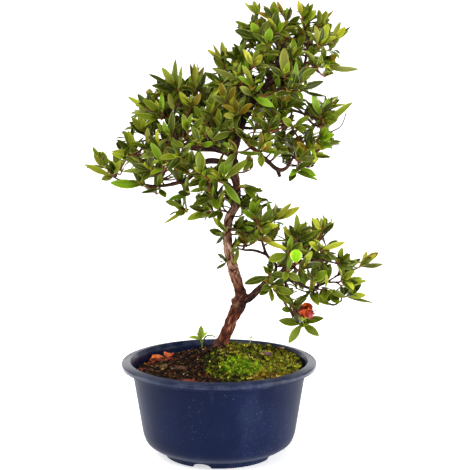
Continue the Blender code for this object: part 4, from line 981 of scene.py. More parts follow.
def tapered(along, swell, bluntness, stalk):
    """Half a blade's width, as a part of its greatest: it tapers to its stalk and has a blunt tip."""
    return max(max(math.sin(math.pi * along ** swell), 0.0) ** bluntness, stalk if along < 0.5 else 0.0)


def azalea_outline(along):
    return tapered(along, 1.15, 1.15 - 0.5 * along, 0.1)


def blade_mesh(outline):
    """A flat closed blade of length 1 along Z and half width 1 across X, its upper face towards +Y."""
    bm = bmesh.new()
    bmesh.ops.create_grid(bm, x_segments=BLADE_STEPS[0], y_segments=BLADE_STEPS[1], size=0.5)
    upper = bm.verts[:]
    doubled = bmesh.ops.duplicate(bm, geom=bm.verts[:] + bm.edges[:] + bm.faces[:])["geom"]
    under = [part for part in doubled if isinstance(part, bmesh.types.BMFace)]
    bmesh.ops.reverse_faces(bm, faces=under)
    spot = bm.loops.layers.float_color.new("blade")
    coloured_verts(bm)
    for vert in bm.verts:
        vert.co.y = 0.5 - 0.5 * math.cos(math.pi * min(max(vert.co.y + 0.5, 0.0), 1.0))
    for face in bm.faces:
        for loop in face.loops:
            loop[spot] = (loop.vert.co.x + 0.5, loop.vert.co.y, float(face in under), 1.0)
    for vert in bm.verts:
        side, along = vert.co.x * 2, vert.co.y
        rise = 1 - side ** 4 if vert in upper and 0.001 < along < 0.999 else 0.0
        vert.co = (side * outline(along), rise, along)
    bmesh.ops.remove_doubles(bm, verts=bm.verts, dist=0.0001)
    bmesh.ops.dissolve_degenerate(bm, edges=bm.edges, dist=0.0001)
    bmesh.ops.recalc_face_normals(bm, faces=bm.faces)
    for edge in bm.edges:
        edge.smooth = edge.calc_face_angle(math.pi) < math.radians(60)
    return mesh_of(bm, "blade")


def bent(points, leaf, rng):
    """A flat blade's points, in mm: folded at the rib, arched, twisted and waved at the edges."""
    fold, arch = rng.uniform(*leaf["fold"]), rng.uniform(*leaf["arch"])
    twist, wave = rng.uniform(-leaf["twist"], leaf["twist"]), rng.uniform(0.0, leaf["wave"])
    along, side = points[:, 2], points[:, 0] * leaf["width"] / 2
    rise = points[:, 1] * BLADE_THICK + np.abs(side) * fold
    rise = rise + wave * np.abs(points[:, 0]) * np.sin(along * 9.0 + np.sign(points[:, 0]))
    turn = twist * (along - 0.4)
    side, rise = side * np.cos(turn) - rise * np.sin(turn), side * np.sin(turn) + rise * np.cos(turn)
    angle = arch * (0.5 - along)
    rib_up = leaf["length"] / arch * (np.cos(angle) - math.cos(arch / 2))
    rib_on = leaf["length"] / arch * (math.sin(arch / 2) - np.sin(angle))
    return np.stack([side, rib_up + rise * np.cos(angle), rib_on - rise * np.sin(angle)], axis=1)


def grown_leaf(root, heading, face, length, width, colour, **bends):
    """What is known of a leaf: its root, its own axes (across, up from its face, along) and its look."""
    across = face.cross(heading).normalized()
    axes = Matrix((across, heading.cross(across).normalized(), heading)).transposed()
    return {"root": root, "axes": axes, "length": length, "width": width, "colour": colour,
            **USUAL_BENDS, **bends}


def leaves_mesh(leaves, blade, seed):
    """The leaves as one mesh, each a bent copy of a blade with its own tone."""
    rng = random.Random(seed)
    made, points = copies(blade, len(leaves))
    colours = np.ones((*points.shape[:2], 4), np.float32)
    for i, leaf in enumerate(leaves):
        shape = bent(points[i], leaf, rng)
        points[i] = shape @ np.array(leaf["axes"]).T * MM + np.array(leaf["root"])
        warmth = rng.uniform(-0.1, 0.1)
        light = rng.uniform(0.62, 1.22)
        colours[i, :, :3] = np.array(leaf["colour"]) * light * (1 + warmth, 1.0, 1 - warmth)
    made.vertices.foreach_set("co", points.ravel())
    made.attributes["tint"].data.foreach_set("color", colours.ravel())
    return made


def add_twig(bm, path, radii, tones):
    """Adds a tapering twig whose tone runs from its root's to its tip's."""
    spans = len(path) - 1
    sizes = [(radii[0] + (radii[1] - radii[0]) * k / spans) * MM for k in range(spans + 1)]
    points, sizes = curved(path, sizes, 4)
    shape, _ = limb(points, sizes, TWIG_SIDES)
    tint = coloured_verts(shape)
    for i, vert in enumerate(shape.verts):
        part = i // TWIG_SIDES / (len(points) - 1) * (len(tones) - 1)
        first = min(int(part), len(tones) - 2)
        vert[tint] = (*Vector(tones[first]).lerp(Vector(tones[first + 1]), part - first), 1.0)
    add_mesh(bm, mesh_of(shape, "twig"))


def leafy_mesh(leaves, blade, twigs, buds, seed):
    """One mesh of leaves, which take the first finish, and of twigs and buds, which take the second."""
    bm = bmesh.new()
    if leaves:
        add_mesh(bm, leaves_mesh(leaves, blade, seed))
    tint = coloured_verts(bm)
    leaf_faces = len(bm.faces)
    for path, radii, tones in twigs:
        add_twig(bm, path, radii, tones)
    for place, axis, size, colour in buds:
        stand = Matrix.Translation(place) @ axis.to_track_quat("Z", "Y").to_matrix().to_4x4()
        shape = Matrix.Diagonal((*[part * MM for part in size], 1.0))
        bud = bmesh.ops.create_uvsphere(bm, u_segments=BUD_SIDES[0], v_segments=BUD_SIDES[1], radius=1.0,
                                        matrix=stand @ shape)
        for vert in bud["verts"]:
            vert[tint] = (*colour, 1.0)
    bm.faces.ensure_lookup_table()
    for face in bm.faces[leaf_faces:]:
        face.material_index = 1
    return mesh_of(bm, seed)


def leaf_finish(name, roughness, rib_tone, edge_tone, edge):
    """A satiny leaf: its own tint, lighter towards its margin and tip and darker at its rib and base as
    painted highlight and shade, a paler rib and underside, faint veins, a stained base and tip, and a paler
    edge that is painted highlight on the azalea's leaves.
    """
    made = Finish(name, tone(80, 116, 30), roughness, IOR=1.45, Specular_IOR_Level=0.22)
    spot = made.attribute("blade")
    side, along, under = [made.node("SeparateColor", {}, {"Color": spot}, k) for k in range(3)]
    from_rib = (side - 0.5).size()
    rib = 1 - from_rib.between(0.015, 0.085)
    veins = made.node("Math", {"operation": "SINE"}, {"Value": along * 62.0 - from_rib * 42.0})
    mottle = made.noise(made.places(), 210.0, 3.0)
    # Each leaf is lighter towards its margin and tip and darker at its rib and base: painted highlight and
    # shade.
    light = mottle * 0.45 + from_rib * 0.55 + along * 0.3 + veins * 0.035 + 0.5
    upper = made.mixed(rib * 0.25, made.shaded(made.attribute("tint"), light), rib_tone)
    lower = made.mixed(0.35, made.attribute("tint"), UNDER_TONE)
    lower = made.mixed(rib * 0.4, lower, rib_tone)
    ends = along.between(0.95, 1.0) * 0.4 + (1 - along.between(0.0, 0.14)) * 0.7
    colour = made.mixed(ends, made.mixed(under, upper, lower), ENDS_TONE)
    # A paler edge, which on the azalea's leaves is painted highlight
    made.paint("Base Color", made.mixed(from_rib.between(0.34, 0.48) * edge, colour, edge_tone))
    made.paint("Roughness", under * 0.25 + mottle * 0.12 + (roughness - 0.06))
    made.bump(veins * 0.12 + rib * (under - 0.5) * 0.9 + mottle * 0.3, 0.6, 0.35 * MM)
    return made


def top_leaves(top, reaches, colour):
    """The leaves at a stem's top, from how far each reaches across, up and out, and from its width."""
    root = top - VIEW_UP * 0.3 * MM
    grown = []
    for across, up, out, width in reaches:
        reach = towards(across, up, out)
        grown.append(grown_leaf(root, reach.normalized(), VIEW_UP + VIEW_OUT, reach.length, width, colour))
    return grown


azalea_blade = blade_mesh(azalea_outline)
leafy = leaf_finish("azalea_leaf", 0.42, RIB_TONE, EDGE_HIGHLIGHT_TONE, 0.4)
twiggy = Finish("azalea_twig", tone(110, 66, 44), 0.7, Specular_IOR_Level=0.3)
rough = twiggy.noise(twiggy.places(), 700.0, 3.0)
twiggy.tint(rough * 0.9 + 0.55)
twiggy.bump(rough, 0.6, 0.3 * MM)
top = seen(*SEEDLING_TOP)
foot = Vector((*SEEDLING_FOOT, soil_height(*SEEDLING_FOOT) - 5.0)) * MM + POT_MIDDLE
stems = [([foot, foot.lerp(top, 0.5) + VIEW_RIGHT * 0.6 * MM, top], SEEDLING_STEM, SEEDLING_TONES),
         ([seen(*place) for place in SIDE_SHOOT], SIDE_SHOOT_RADII, SEEDLING_TONES[1:])]
leaves = top_leaves(top, SEEDLING_LEAVES, SEEDLING_GREEN)
seedling_mesh = leafy_mesh(leaves, azalea_blade, stems, [], "seedling")
placed("self_sown_seedling", seedling_mesh, [leafy, twiggy], ["seedling"], sharp=None)
ground = soil_height(*SPROUT_FOOT) + moss_thickness(*SPROUT_FOOT)
foot = Vector((*SPROUT_FOOT, ground - 1.0)) * MM + POT_MIDDLE
top = foot + SPROUT_RISE * MM
stems = [([foot, foot.lerp(top, 0.5) - VIEW_RIGHT * 0.3 * MM, top], SPROUT_STEM, SPROUT_TONES)]
leaves = top_leaves(top, SPROUT_LEAVES, SPROUT_GREEN)
sprout_mesh = leafy_mesh(leaves, azalea_blade, stems, [], "sprout")
placed("moss_sprout", sprout_mesh, [leafy, twiggy], sharp=None)

# The sprays: leafy twigs, whose leaves stand in whorls round each tip. The old leaves are dark and glossy,
# the young ones at the tip narrow, upright and yellow-green, round a brown bud. The tones of the leaves are
# dark, mid, bright, light, young, grey-green, olive and reddish.
# The light and young tones are partly the leaves' own colour and partly painted highlight, lighter
# olive-yellow where the leaves shine.
LEAF_TONES = {
    "d": tone(58, 70, 6), "m": tone(90, 104, 10), "b": tone(106, 136, 14), "l": tone(148, 156, 38),
    "y": tone(164, 164, 56), "g": tone(118, 124, 50), "o": tone(118, 98, 20), "r": tone(128, 70, 34),
}
# Each spray's first number is how many shoots stand behind it. Then come the shoots that the view shows: the
# across, up and depth of each, and how far across and up its leaves reach, with the seen width of those that
# aren't as wide as usual, all in mm. The letters are the tones of these leaves.
SPRAYS = {
    "left_tip": (1, [
        (-114, 296, -4, [(-12, 21, 5), (-11, 13), (-2, 16), (-6, 16, 5)]),
        (-106, 288, -16, [(-28, 11), (-4, 16, 4), (-1, 14), (9, 15), (-11, -4)]),
        (-92, 306, -14, [(-15, 4, 6)]),
    ], "lyll lgdlg l"),
    "left_low_leaf": (1, [
        (-75, 279, -24, [(-33, 2, 10), (-10, 12)]),
        (-59, 276, -26, [(-16, -5, 4), (6, -10)]),
    ], "bd dm"),
    "left_low": (1, [
        (-69, 294, -34, [(-17, 5), (-27, -2, 6), (-7, -11)]),
        (-54, 298, -42, [(-14, 23, 8), (14, 10)]),
    ], "dgd bd"),
    "left_edge": (1, [
        (-86, 309, -12, [(-20, 3), (-16, 15), (-10, 24, 6), (-5, 24)]),
        (-69, 316, -14, [(-18, 4, 6)]),
    ], "ldll m"),
    "left_shoulder": (1, [
        (-74, 331, -6, [(-13, 15), (-7, 16, 5), (-2, 13), (-14, 7), (6, 14)]),
    ], "lyldm"),
    "left_peak": (1, [
        (-71, 354, 4, [(-21, 14, 6), (-18, -3, 4), (-11, 17), (0, 18)]),
        (-56, 350, -10, [(-20, 14, 8)]),
        (-58, 345, -12, [(-26, 4, 7)]),
    ], "lgdd m m"),
    "left_crown": (1, [
        (-43, 376, -4, [(0, 28, 6), (-14, 20, 8), (-27, 13, 5), (-24, 2), (6, 22, 5)]),
    ], "mlddl"),
    "left_young": (1, [
        (-22, 374, 8, [(-7, 26, 5), (-3, 27, 5), (1, 28, 5), (7, 24, 6)]),
    ], "oyyo"),
    "left_heart": (1, [
        (-48, 326, -40, [(2, 26), (-14, 14), (12, -10)]),
        (-30, 332, -48, [(-5, 12, 8), (14, 14)]),
        (-38, 306, -46, [(-16, 10), (10, 14), (-12, -12)]),
    ], "dmm bm dgd"),
    "left_high": (1, [
        (-13, 342, -26, [(7, 30, 8), (-12, 16)]),
        (0, 335, -24, [(-1, 20), (14, 8)]),
        (-19, 319, -48, [(13, 1, 6), (-8, 18)]),
        (-2, 320, -30, [(-20, -2, 6), (12, -9)]),
        (13, 333, -30, [(-19, -10, 8)]),
        (-14, 329, -34, [(-12, 3, 7)]),
    ], "mm mm bm bd m l"),
    "left_back": (1, [
        (-28, 356, -14, [(-12, 16), (10, 14)]),
        (-58, 312, -20, [(-12, 16), (-20, -6)]),
    ], "lo dg"),
    "front_rosette": (0, [
        (4, 284, -42, [(24, 20, 8), (17, -24, 8), (0, 18), (-16, 4, 5)]),
        (-18, 290, -48, [(-1, 22, 10)]),
        (-14, 286, -36, [(-5, -12), (-18, -8)]),
    ], "mbbl m md"),
    "low_left": (1, [
        (-29, 270, -16, [(-21, -6, 6), (-12, 1)]),
        (-32, 252, -8, [(-11, 6), (-11, -3), (-23, -12, 4)]),
    ], "bd mml"),
    "low_mid": (1, [
        (-12, 253, -14, [(-20, -9, 8), (-18, 5)]),
        (-7, 268, -24, [(-19, -9), (6, -14, 8)]),
        (2, 254, -18, [(-12, -9), (-1, -12)]),
    ], "ld db dm"),
    "trunk_twig": (0, [
        (24, 277, -6, [(14, -13, 5), (20, -4, 5)]),
    ], "mm"),
    "top_left_tip": (1, [
        (36, 450, 0, [(-11, 11, 4), (-2, 13, 4), (5, 12, 4)]),
        (33, 436, -6, [(-17, 5, 5)]),
        (39, 426, -16, [(-23, 7, 9), (-7, 14, 9)]),
        (48, 418, -26, [(3, 17, 9), (-12, -4)]),
    ], "yyo m db bd"),
    "top_mid": (1, [
        (56, 431, -12, [(1, 21, 9), (9, 8)]),
        (54, 447, 0, [(1, 15, 8), (-10, 8), (-16, 2)]),
        (68, 443, 6, [(-10, 19, 5), (0, 13), (4, 12, 4)]),
    ], "db ldo ood"),
    "top_pale": (1, [
        (83, 446, -2, [(-4, 17, 6), (1, 13, 5), (7, 15, 4), (11, 13, 7), (14, 6)]),
    ], "yodml"),
    "top_right_tip": (0, [
        (102, 438, 6, [(-2, 12, 5), (5, 16, 6), (13, 16, 4)]),
    ], "oyo"),
    "top_right": (1, [
        (99, 417, -16, [(10, 22, 10), (12, 11)]),
        (113, 421, 0, [(13, 15, 7), (9, 22, 5), (19, 17, 4)]),
    ], "lm lyd"),
    "right_high": (1, [
        (106, 402, -8, [(-3, 15, 7), (11, 5, 8), (5, -11, 4)]),
        (107, 397, -8, [(32, -3, 7)]),
        (99, 396, -22, [(-16, -9, 8)]),
    ], "mod g m"),
    "mid_high": (1, [
        (78, 374, -28, [(26, 8, 8), (-1, 28, 6)]),
        (65, 387, -38, [(0, 28, 10), (-14, 10)]),
        (72, 406, -18, [(-1, 15, 4), (12, 10)]),
    ], "db gd ym"),
    "top_inner": (1, [
        (35, 397, -28, [(-11, 17, 7), (8, 12)]),
        (44, 408, -18, [(-1, 20, 4)]),
        (19, 405, -8, [(-3, 12, 6), (-12, 4)]),
    ], "yl l dd"),
    "inner_left": (1, [
        (35, 377, -38, [(-16, 9, 6), (-12, 21, 6), (10, 14)]),
        (21, 384, -26, [(-27, 10, 6), (-16, -6, 5)]),
    ], "bld gg"),
    "up_left": (1, [
        (4, 401, 0, [(-16, 14, 5), (-10, 19, 5), (-1, 22, 6), (3, 17, 5)]),
        (3, 378, -12, [(-14, 12, 6), (-14, -2)]),
    ], "yyyl dd"),
    "olive_mass": (1, [
        (7, 362, -34, [(-6, 18), (10, 14), (-14, 4)]),
        (19, 349, -42, [(-4, 16), (14, 10), (-14, -2)]),
    ], "oog oog"),
    "centre_bright": (1, [
        (33, 368, -48, [(21, -11, 8), (-12, 8)]),
        (69, 373, -42, [(11, -9), (-12, -6)]),
        (84, 373, -16, [(23, -6, 5)]),
    ], "bg dd d"),
    "right_cluster": (1, [
        (102, 347, -14, [(-9, 22, 8), (-16, 16, 6), (12, 4, 6)]),
        (109, 353, -2, [(-3, 13, 5), (4, 14, 5), (10, 13, 4)]),
        (104, 338, -8, [(29, 23, 7)]),
    ], "bdm ooy l"),
    "right_rosette": (1, [
        (99, 325, -20, [(8, 11), (16, 4, 8), (14, -9, 8), (5, -12), (22, -5, 4)]),
    ], "bbblg"),
    "right_inner": (1, [
        (75, 337, -30, [(-12, 8, 8), (12, -4)]),
        (89, 315, -24, [(2, 18, 6), (-12, 4)]),
        (50, 332, -36, [(10, 12), (-8, 10)]),
        (56, 344, -24, [(14, 8, 6)]),
    ], "mm do dd m"),
    "right_low": (1, [
        (77, 304, -18, [(20, 2, 7), (6, 14)]),
        (95, 309, -8, [(16, -3, 4)]),
        (76, 292, -12, [(23, -9, 5), (14, -3, 4), (-6, -10)]),
    ], "gm m bmd"),
    "trunk_front": (0, [
        (28, 325, -36, [(-12, 10), (12, -8)]),
        (16, 312, -44, [(26, -2, 5), (-10, -14)]),
        (42, 312, -34, [(0, -15, 8), (12, 10)]),
    ], "dm mm ml"),
    "canopy_left": (1, [
        (36, 246, -12, [(-4, 17, 8), (-13, 8)]),
        (41, 236, -24, [(12, 19, 10), (18, 2)]),
        (54, 243, -6, [(27, 14, 8), (19, 18, 6), (-6, 20, 6)]),
    ], "bb ml lyb"),
    "canopy_mid": (1, [
        (41, 226, -30, [(12, -3), (28, -12, 6)]),
    ], "ol"),
    "trunk_side": (0, [
        (16, 236, -4, [(19, -1, 6), (10, 12)]),
        (6, 229, 2, [(-16, 5, 8), (-9, -8, 4)]),
    ], "bm md"),
    "trunk_low": (0, [
        (7, 203, 4, [(-7, 6, 4), (-9, -8, 4)]),
    ], "dm"),
    "canopy_top": (1, [
        (78, 226, -12, [(-1, 24, 7), (9, 16), (-8, 13), (-15, 11, 6), (23, 8, 6)]),
    ], "mmdlm"),
    "canopy_top_right": (1, [
        (103, 234, 0, [(-11, 11), (-5, 12, 4), (-1, 14, 4), (5, 12, 5), (12, 6, 4)]),
    ], "lyyld"),
    "canopy_right": (1, [
        (101, 214, -16, [(25, 8, 6), (16, -10), (11, -12), (-12, 8)]),
    ], "lddl"),
    "canopy_right_tip": (1, [
        (119, 202, -6, [(4, 15, 5), (12, 8, 5), (18, 0, 5), (12, -8, 5)]),
    ], "lmdm"),
    "far_right": (0, [
        (144, 199, 2, [(4, 14, 5), (13, 11, 5), (21, 1, 5)]),
    ], "ylg"),
    "right_lower": (1, [
        (123, 184, -8, [(11, 9), (16, -3), (25, -1, 5), (13, -9)]),
    ], "ldlm"),
    "right_lowest": (0, [
        (131, 169, -4, [(2, 13), (11, 11, 6), (16, 0), (24, -8, 4)]),
        (112, 171, -8, [(6, -10, 9), (-5, -9, 6)]),
    ], "odlm mm"),
    "low_mid_right": (1, [
        (107, 175, -18, [(19, -8, 6), (-2, -12)]),
        (92, 182, -28, [(16, 11, 10), (4, 18)]),
        (89, 171, -14, [(22, -12, 7), (10, -12, 5), (-10, -9, 5)]),
    ], "mm bd mlm"),
    "canopy_front": (1, [
        (81, 194, -30, [(8, -10, 5)]),
        (67, 192, -36, [(14, -9, 8)]),
        (69, 211, -34, [(-20, -7, 10), (12, 10)]),
    ], "d m md"),
    "fork_front": (1, [
        (50, 190, -24, [(17, -2, 8), (-6, 8, 5), (2, 10, 4), (-25, -10, 9)]),
        (52, 177, -16, [(22, -7, 9), (0, -14, 6), (-12, -8, 7)]),
        (56, 172, -14, [(13, -11, 6)]),
    ], "mmdd mmm m"),
    "lime_leaf": (0, [(77, 201, -54, [])], ""),
    "spent_bloom": (0, [(87, 154, -14, [])], ""),
    "low_rosette": (1, [
        (84, 140, -8, [(-25, 4, 9), (-15, -19, 9), (16, -12, 9), (21, 6, 8), (-10, 6, 7)]),
        (74, 155, -6, [(-12, 0, 7), (3, 10, 4)]),
    ], "mmmmd mm"),
    "inner_buds": (0, [
        (26, 219, -8, [(-7, 11, 4), (0, 13, 4), (7, 9, 4)]),
        (35, 221, -4, [(4, 10, 4), (-3, 9, 3)]),
        (18, 219, -6, [(-2, -19, 5), (4, 11, 5), (-6, -9, 4)]),
    ], "ooy oo mom"),
}
LIME_LEAF = "lime_leaf"
SPENT_BLOOM = "spent_bloom"
# The crown's dense clouds of leaves, between and behind the shoots above: across, up and radius in mm
CLOUDS = [
    (-60, 358, 12), (-44, 371, 15), (-22, 376, 13), (-37, 349, 17), (-61, 330, 11), (-69, 309, 11),
    (-76, 296, 8), (-50, 306, 15), (-58, 291, 9), (-37, 324, 15), (-14, 349, 19), (-14, 324, 11),
    (-24, 299, 12), (-11, 286, 13),
    (5, 289, 12), (-14, 266, 10), (2, 267, 9), (17, 267, 6), (6, 339, 15), (9, 322, 8), (6, 368, 17),
    (24, 362, 17), (20, 385, 15), (23, 404, 10), (36, 428, 14), (42, 404, 15), (53, 430, 15), (60, 394, 15),
    (46, 371, 15), (64, 418, 13), (74, 435, 8), (86, 428, 9), (98, 429, 11), (89, 414, 8), (83, 393, 9),
    (96, 402, 6), (70, 379, 8), (82, 379, 6), (70, 359, 11), (53, 358, 11), (43, 353, 8), (49, 336, 8),
    (42, 324, 9), (30, 324, 7), (63, 326, 10), (73, 314, 11), (90, 349, 8), (101, 355, 7), (86, 320, 10),
    (105, 327, 8), (98, 337, 5), (81, 304, 7), (26, 256, 7), (42, 259, 8), (53, 256, 8), (42, 243, 8),
    (23, 241, 8), (24, 229, 6), (53, 231, 7), (79, 232, 9), (91, 233, 6), (66, 223, 6), (81, 216, 9),
    (96, 220, 9), (98, 206, 10), (86, 205, 8), (102, 192, 9), (64, 206, 8), (119, 202, 6), (120, 195, 5),
    (96, 168, 6), (66, 186, 6), (64, 172, 7), (78, 174, 5), (121, 171, 5), (74, 146, 6), (-39, 291, 10),
    (58, 312, 8), (66, 302, 6), (23, 224, 6), (34, 223, 5), (17, 214, 4), (-88, 329, 5), (90, 300, 4),
    (34, 342, 7), (28, 268, 6), (30, 300, 5), (-92, 312, 5), (112, 166, 6), (62, 166, 6), (61, 301, 5),
    (34, 268, 6), (-76, 350, 5),
]
SHOOT_AREA = 29.0
LEAF_LENGTHS = (15.0, 24.0)
# The leaves that are added: how far in degrees they lean off their shoot, their lengths in mm, how large a
# part of its length a leaf's width is, and their tones. An old leaf gets shorter each time it is turned.
OLD_LEAF = ((20, 66), LEAF_LENGTHS, (0.28, 0.36), "dddmmmmbbgoll")
YOUNG_LEAF = ((8, 26), (8, 13), (0.24, 0.30), "yyllor")
SHRINK = 0.05
USUAL_WIDTH = 8.0
USUAL_SEEN_WIDTH = 7.0
SHOWN_ARCH = (-0.5, -0.1)
CROWN_MIDDLE = 30.0
LEAN_MOST = 0.8
# Shown leaves: the widest, those that count as slim, how much longer than it looks each is at least, how
# short a slim young one may be, how many at the back turn forwards, the usual width as a share of the
# length, how flat one faces the view at most, and how far back the first one stands and each next one
WIDEST_SHOWN = 10
SLIM_SHOWN = 6
SHOWN_SLACK = 1.03
SLIM_SLACK = 1.02
SLIM_SHARE = 0.62
FORWARD_SHARE = 0.4
WIDTH_SHARE = 0.36
FLATTEST = 0.96
SHOWN_BACK = (0.3, 1.5)
# Added leaves: how far back the first stands and each next one, and how they turn on, stray and look up
ADDED_BACK = (1.0, 1.1)
YOUNG_BACK = 0.2
TURN_ON = 0.37
STRAY = 25
LOOK_UP = 0.3
# Twigs: the trunk's station above which they grow, how far apart they leave the wood, how deep they sit in
# it, how much room they need, how far out they run straight, how far they then go to their knot, and how
# low they hang
FIRST_TWIGS = 6
TWIG_APART = 4.0 * MM
TWIG_DEEP = 0.6
TWIG_ROOM = 1.5 * MM
TWIG_STRAIGHT = 2.9 * MM
KNOT_PART = 0.45
TWIG_SAG = 0.06
# Shoots behind: how far across, up and back from the shown ones
BACK_ACROSS = (-9, 9)
BACK_UP = (-12, 4)
BACK_DEPTHS = (20.0, 56.0)
BACK_SHARE = 0.35
# Shoots that fill the clouds: how far out, how low and how deep they stand, and how their twigs find wood
CLOUD_FILL = 0.85
CLOUD_DROP = 2.0
BEHIND_SHOWN = 8.0
FILL_DEPTH = 14.0
HULL_CLEAR = 6.0
UPHILL_COST = 0.8
NEAR_WOOD = 7.0 * MM
FILL_BEND = 0.55
FILL_SAG = 0.1
# How many leaves a shoot gets, how far they may stand out past those that are shown, and how often one that
# is in the way is turned
BACK_LEAVES = 10
FILL_LEAVES = 8
ADDED_LEAVES = 5
YOUNG_LEAVES = 3
COVER_REACH = 3.2
COVER_REACH_BACK = 4.5
ADD_TRIES = 8
MOST_LEAVES = 9000
TWIG_RADII = (1.2, 0.75)
FILL_TWIG_RADII = (1.0, 0.6)
TWIG_TONES = [tone(56, 26, 18), tone(92, 46, 22), tone(122, 68, 32)]
BUD_TONE = tone(136, 84, 42)
BUD_SHAPE = (0.9, 0.9, 2.7)
KNOB_SHAPE = (0.8, 0.8, 0.9)
GOLDEN_ANGLE = 137.5
# Old pistils that outlast the flowers: start, bend and end in the view, with a dark knob at the end
PISTILS = {
    "right_rosette": [((112, 332, -14), (122, 338, -12), (127, 350, -10))],
    "right_inner": [((76, 333, -24), (82, 341, -22), (89, 344, -20))],
}
PISTIL_RADII = (0.7, 0.5)
PISTIL_TONES = [tone(80, 44, 52), tone(70, 40, 50)]


def on_view(place):
    """A place in metres as the view's across and up."""
    ray = place / MM - EYE
    far = -ray.dot(VIEW_OUT) / SIGHT_LENGTH
    return Vector((VIEW_MIDDLE[0] + ray.dot(VIEW_RIGHT) / far, VIEW_MIDDLE[1] + ray.dot(VIEW_UP) / far))


class Thicket:
    """The leaves that are placed, so that a new one is turned clear of them and fits the view's outline."""

    def __init__(self):
        self.blades = []
        self.middles = np.zeros((MOST_LEAVES, 3))
        self.radii = np.zeros(MOST_LEAVES)
        self.lines = []

    def corners(self, leaf):
        length, width = leaf["length"] * MM, leaf["width"] * MM
        return [leaf["root"] + leaf["axes"] @ Vector((x * width, 0, z * length))
                for x, z in ((0, 0.25), (0.45, 0.55), (-0.45, 0.55), (0, 1))]

    def measured(self, leaf):
        """A leaf's blade, its middle and half its length."""
        corners = self.corners(leaf)
        blade = BVHTree.FromPolygons(corners, [(0, 1, 3), (0, 3, 2)])
        return blade, (corners[0] + corners[3]) / 2, leaf["length"] * MM / 2

    def add(self, leaf, is_shown):
        count = len(self.blades)
        blade, self.middles[count], self.radii[count] = self.measured(leaf)
        self.blades.append(blade)
        if is_shown:
            self.lines.append((*on_view(leaf["root"]), *on_view(self.corners(leaf)[3])))

    def is_clear(self, leaf):
        count = len(self.blades)
        blade, middle, radius = self.measured(leaf)
        apart = np.linalg.norm(self.middles[:count] - np.array(middle), axis=1)
        near = np.flatnonzero(apart < self.radii[:count] + radius)
        return not any(blade.overlap(self.blades[i]) for i in near)

    def is_covered(self, leaf, reach):
        """True if the leaf stays among those that the view shows or in a cloud, so the outline stays."""
        lines, clouds = np.array(self.lines), np.array(CLOUDS)
        starts, spans = lines[:, :2], lines[:, 2:] - lines[:, :2]
        corners = self.corners(leaf)
        for corner in (corners[3], (corners[0] + corners[3]) / 2):
            place = np.array(on_view(corner))
            if (np.linalg.norm(clouds[:, :2] - place, axis=1) < clouds[:, 2]).any():
                continue
            part = np.clip(((place - starts) * spans).sum(1) / (spans ** 2).sum(1), 0, 1)
            if np.linalg.norm(place - starts - spans * part[:, None], axis=1).min() > reach:
                return False
        return True


def wood_samples():
    """Places along every limb, with its heading and radius there and whether it is the limb's tip."""
    found = []
    for name, limb_stations in LIMBS.items():
        places = [seen(*station[:3]) for station in limb_stations]
        for i in range(len(places) - 1):
            heading = (places[i + 1] - places[i]).normalized()
            for part in (0.0, 0.33, 0.67):
                radius = limb_stations[i][3] * (1 - part) + limb_stations[i + 1][3] * part
                if name != "trunk" or i > FIRST_TWIGS:
                    found.append((places[i].lerp(places[i + 1], part), heading, radius * MM, False))
        found.append((places[-1], heading, limb_stations[-1][3] * MM, True))
    return found


def sagging(root, tip, part, sag):
    """A twig's path that bends part of the way along, where it hangs lower by a share of its length."""
    return [root, root.lerp(tip, part) - Vector((0, 0, sag * (tip - root).length)), tip]


def twig_paths(shoots, samples, taken):
    """The twigs of one spray: one off the wood to a knot and on to a shoot, and one to each other shoot."""
    tips = [seen(*shoot[:3]) for shoot in shoots]
    middle = sum(tips, Vector()) / len(tips)
    for place, heading, radius, is_tip in sorted(samples, key=lambda s: (s[0] - middle).length):
        outward = middle - place
        if not is_tip:
            outward = outward - heading * outward.dot(heading)
        elif outward.dot(heading) < 0.3 * outward.length:
            continue
        if any((place - used).length < TWIG_APART for used in taken):
            continue
        if outward.length < radius + TWIG_ROOM:
            continue
        outward.normalize()
        away = heading if is_tip else outward
        start = place + away * (0 if is_tip else radius * TWIG_DEEP)
        clear = place + away * ((0 if is_tip else radius) + TWIG_STRAIGHT)
        knot = clear.lerp(middle, KNOT_PART)
        if (knot - clear).dot(away) < 0.25 * (knot - clear).length:
            continue
        taken.append(place)
        paths = [sagging(knot, tip, 0.5, TWIG_SAG) for tip in tips]
        onward = (knot - clear).normalized()
        straightest = max(paths, key=lambda path: (path[1] - knot).normalized().dot(onward))
        straightest[:1] = [start, clear] if len(tips) == 1 else [start, clear, knot]
        return paths
    return []


def back_from_tip(path, distance):
    """The place on a twig's path that lies a distance back from its tip, short of its root."""
    for ahead, behind in zip(path[::-1], path[-2::-1]):
        span = (ahead - behind).length
        if distance < span:
            return ahead.lerp(behind, distance / span)
        distance -= span
    return path[0].lerp(path[1], 0.2)


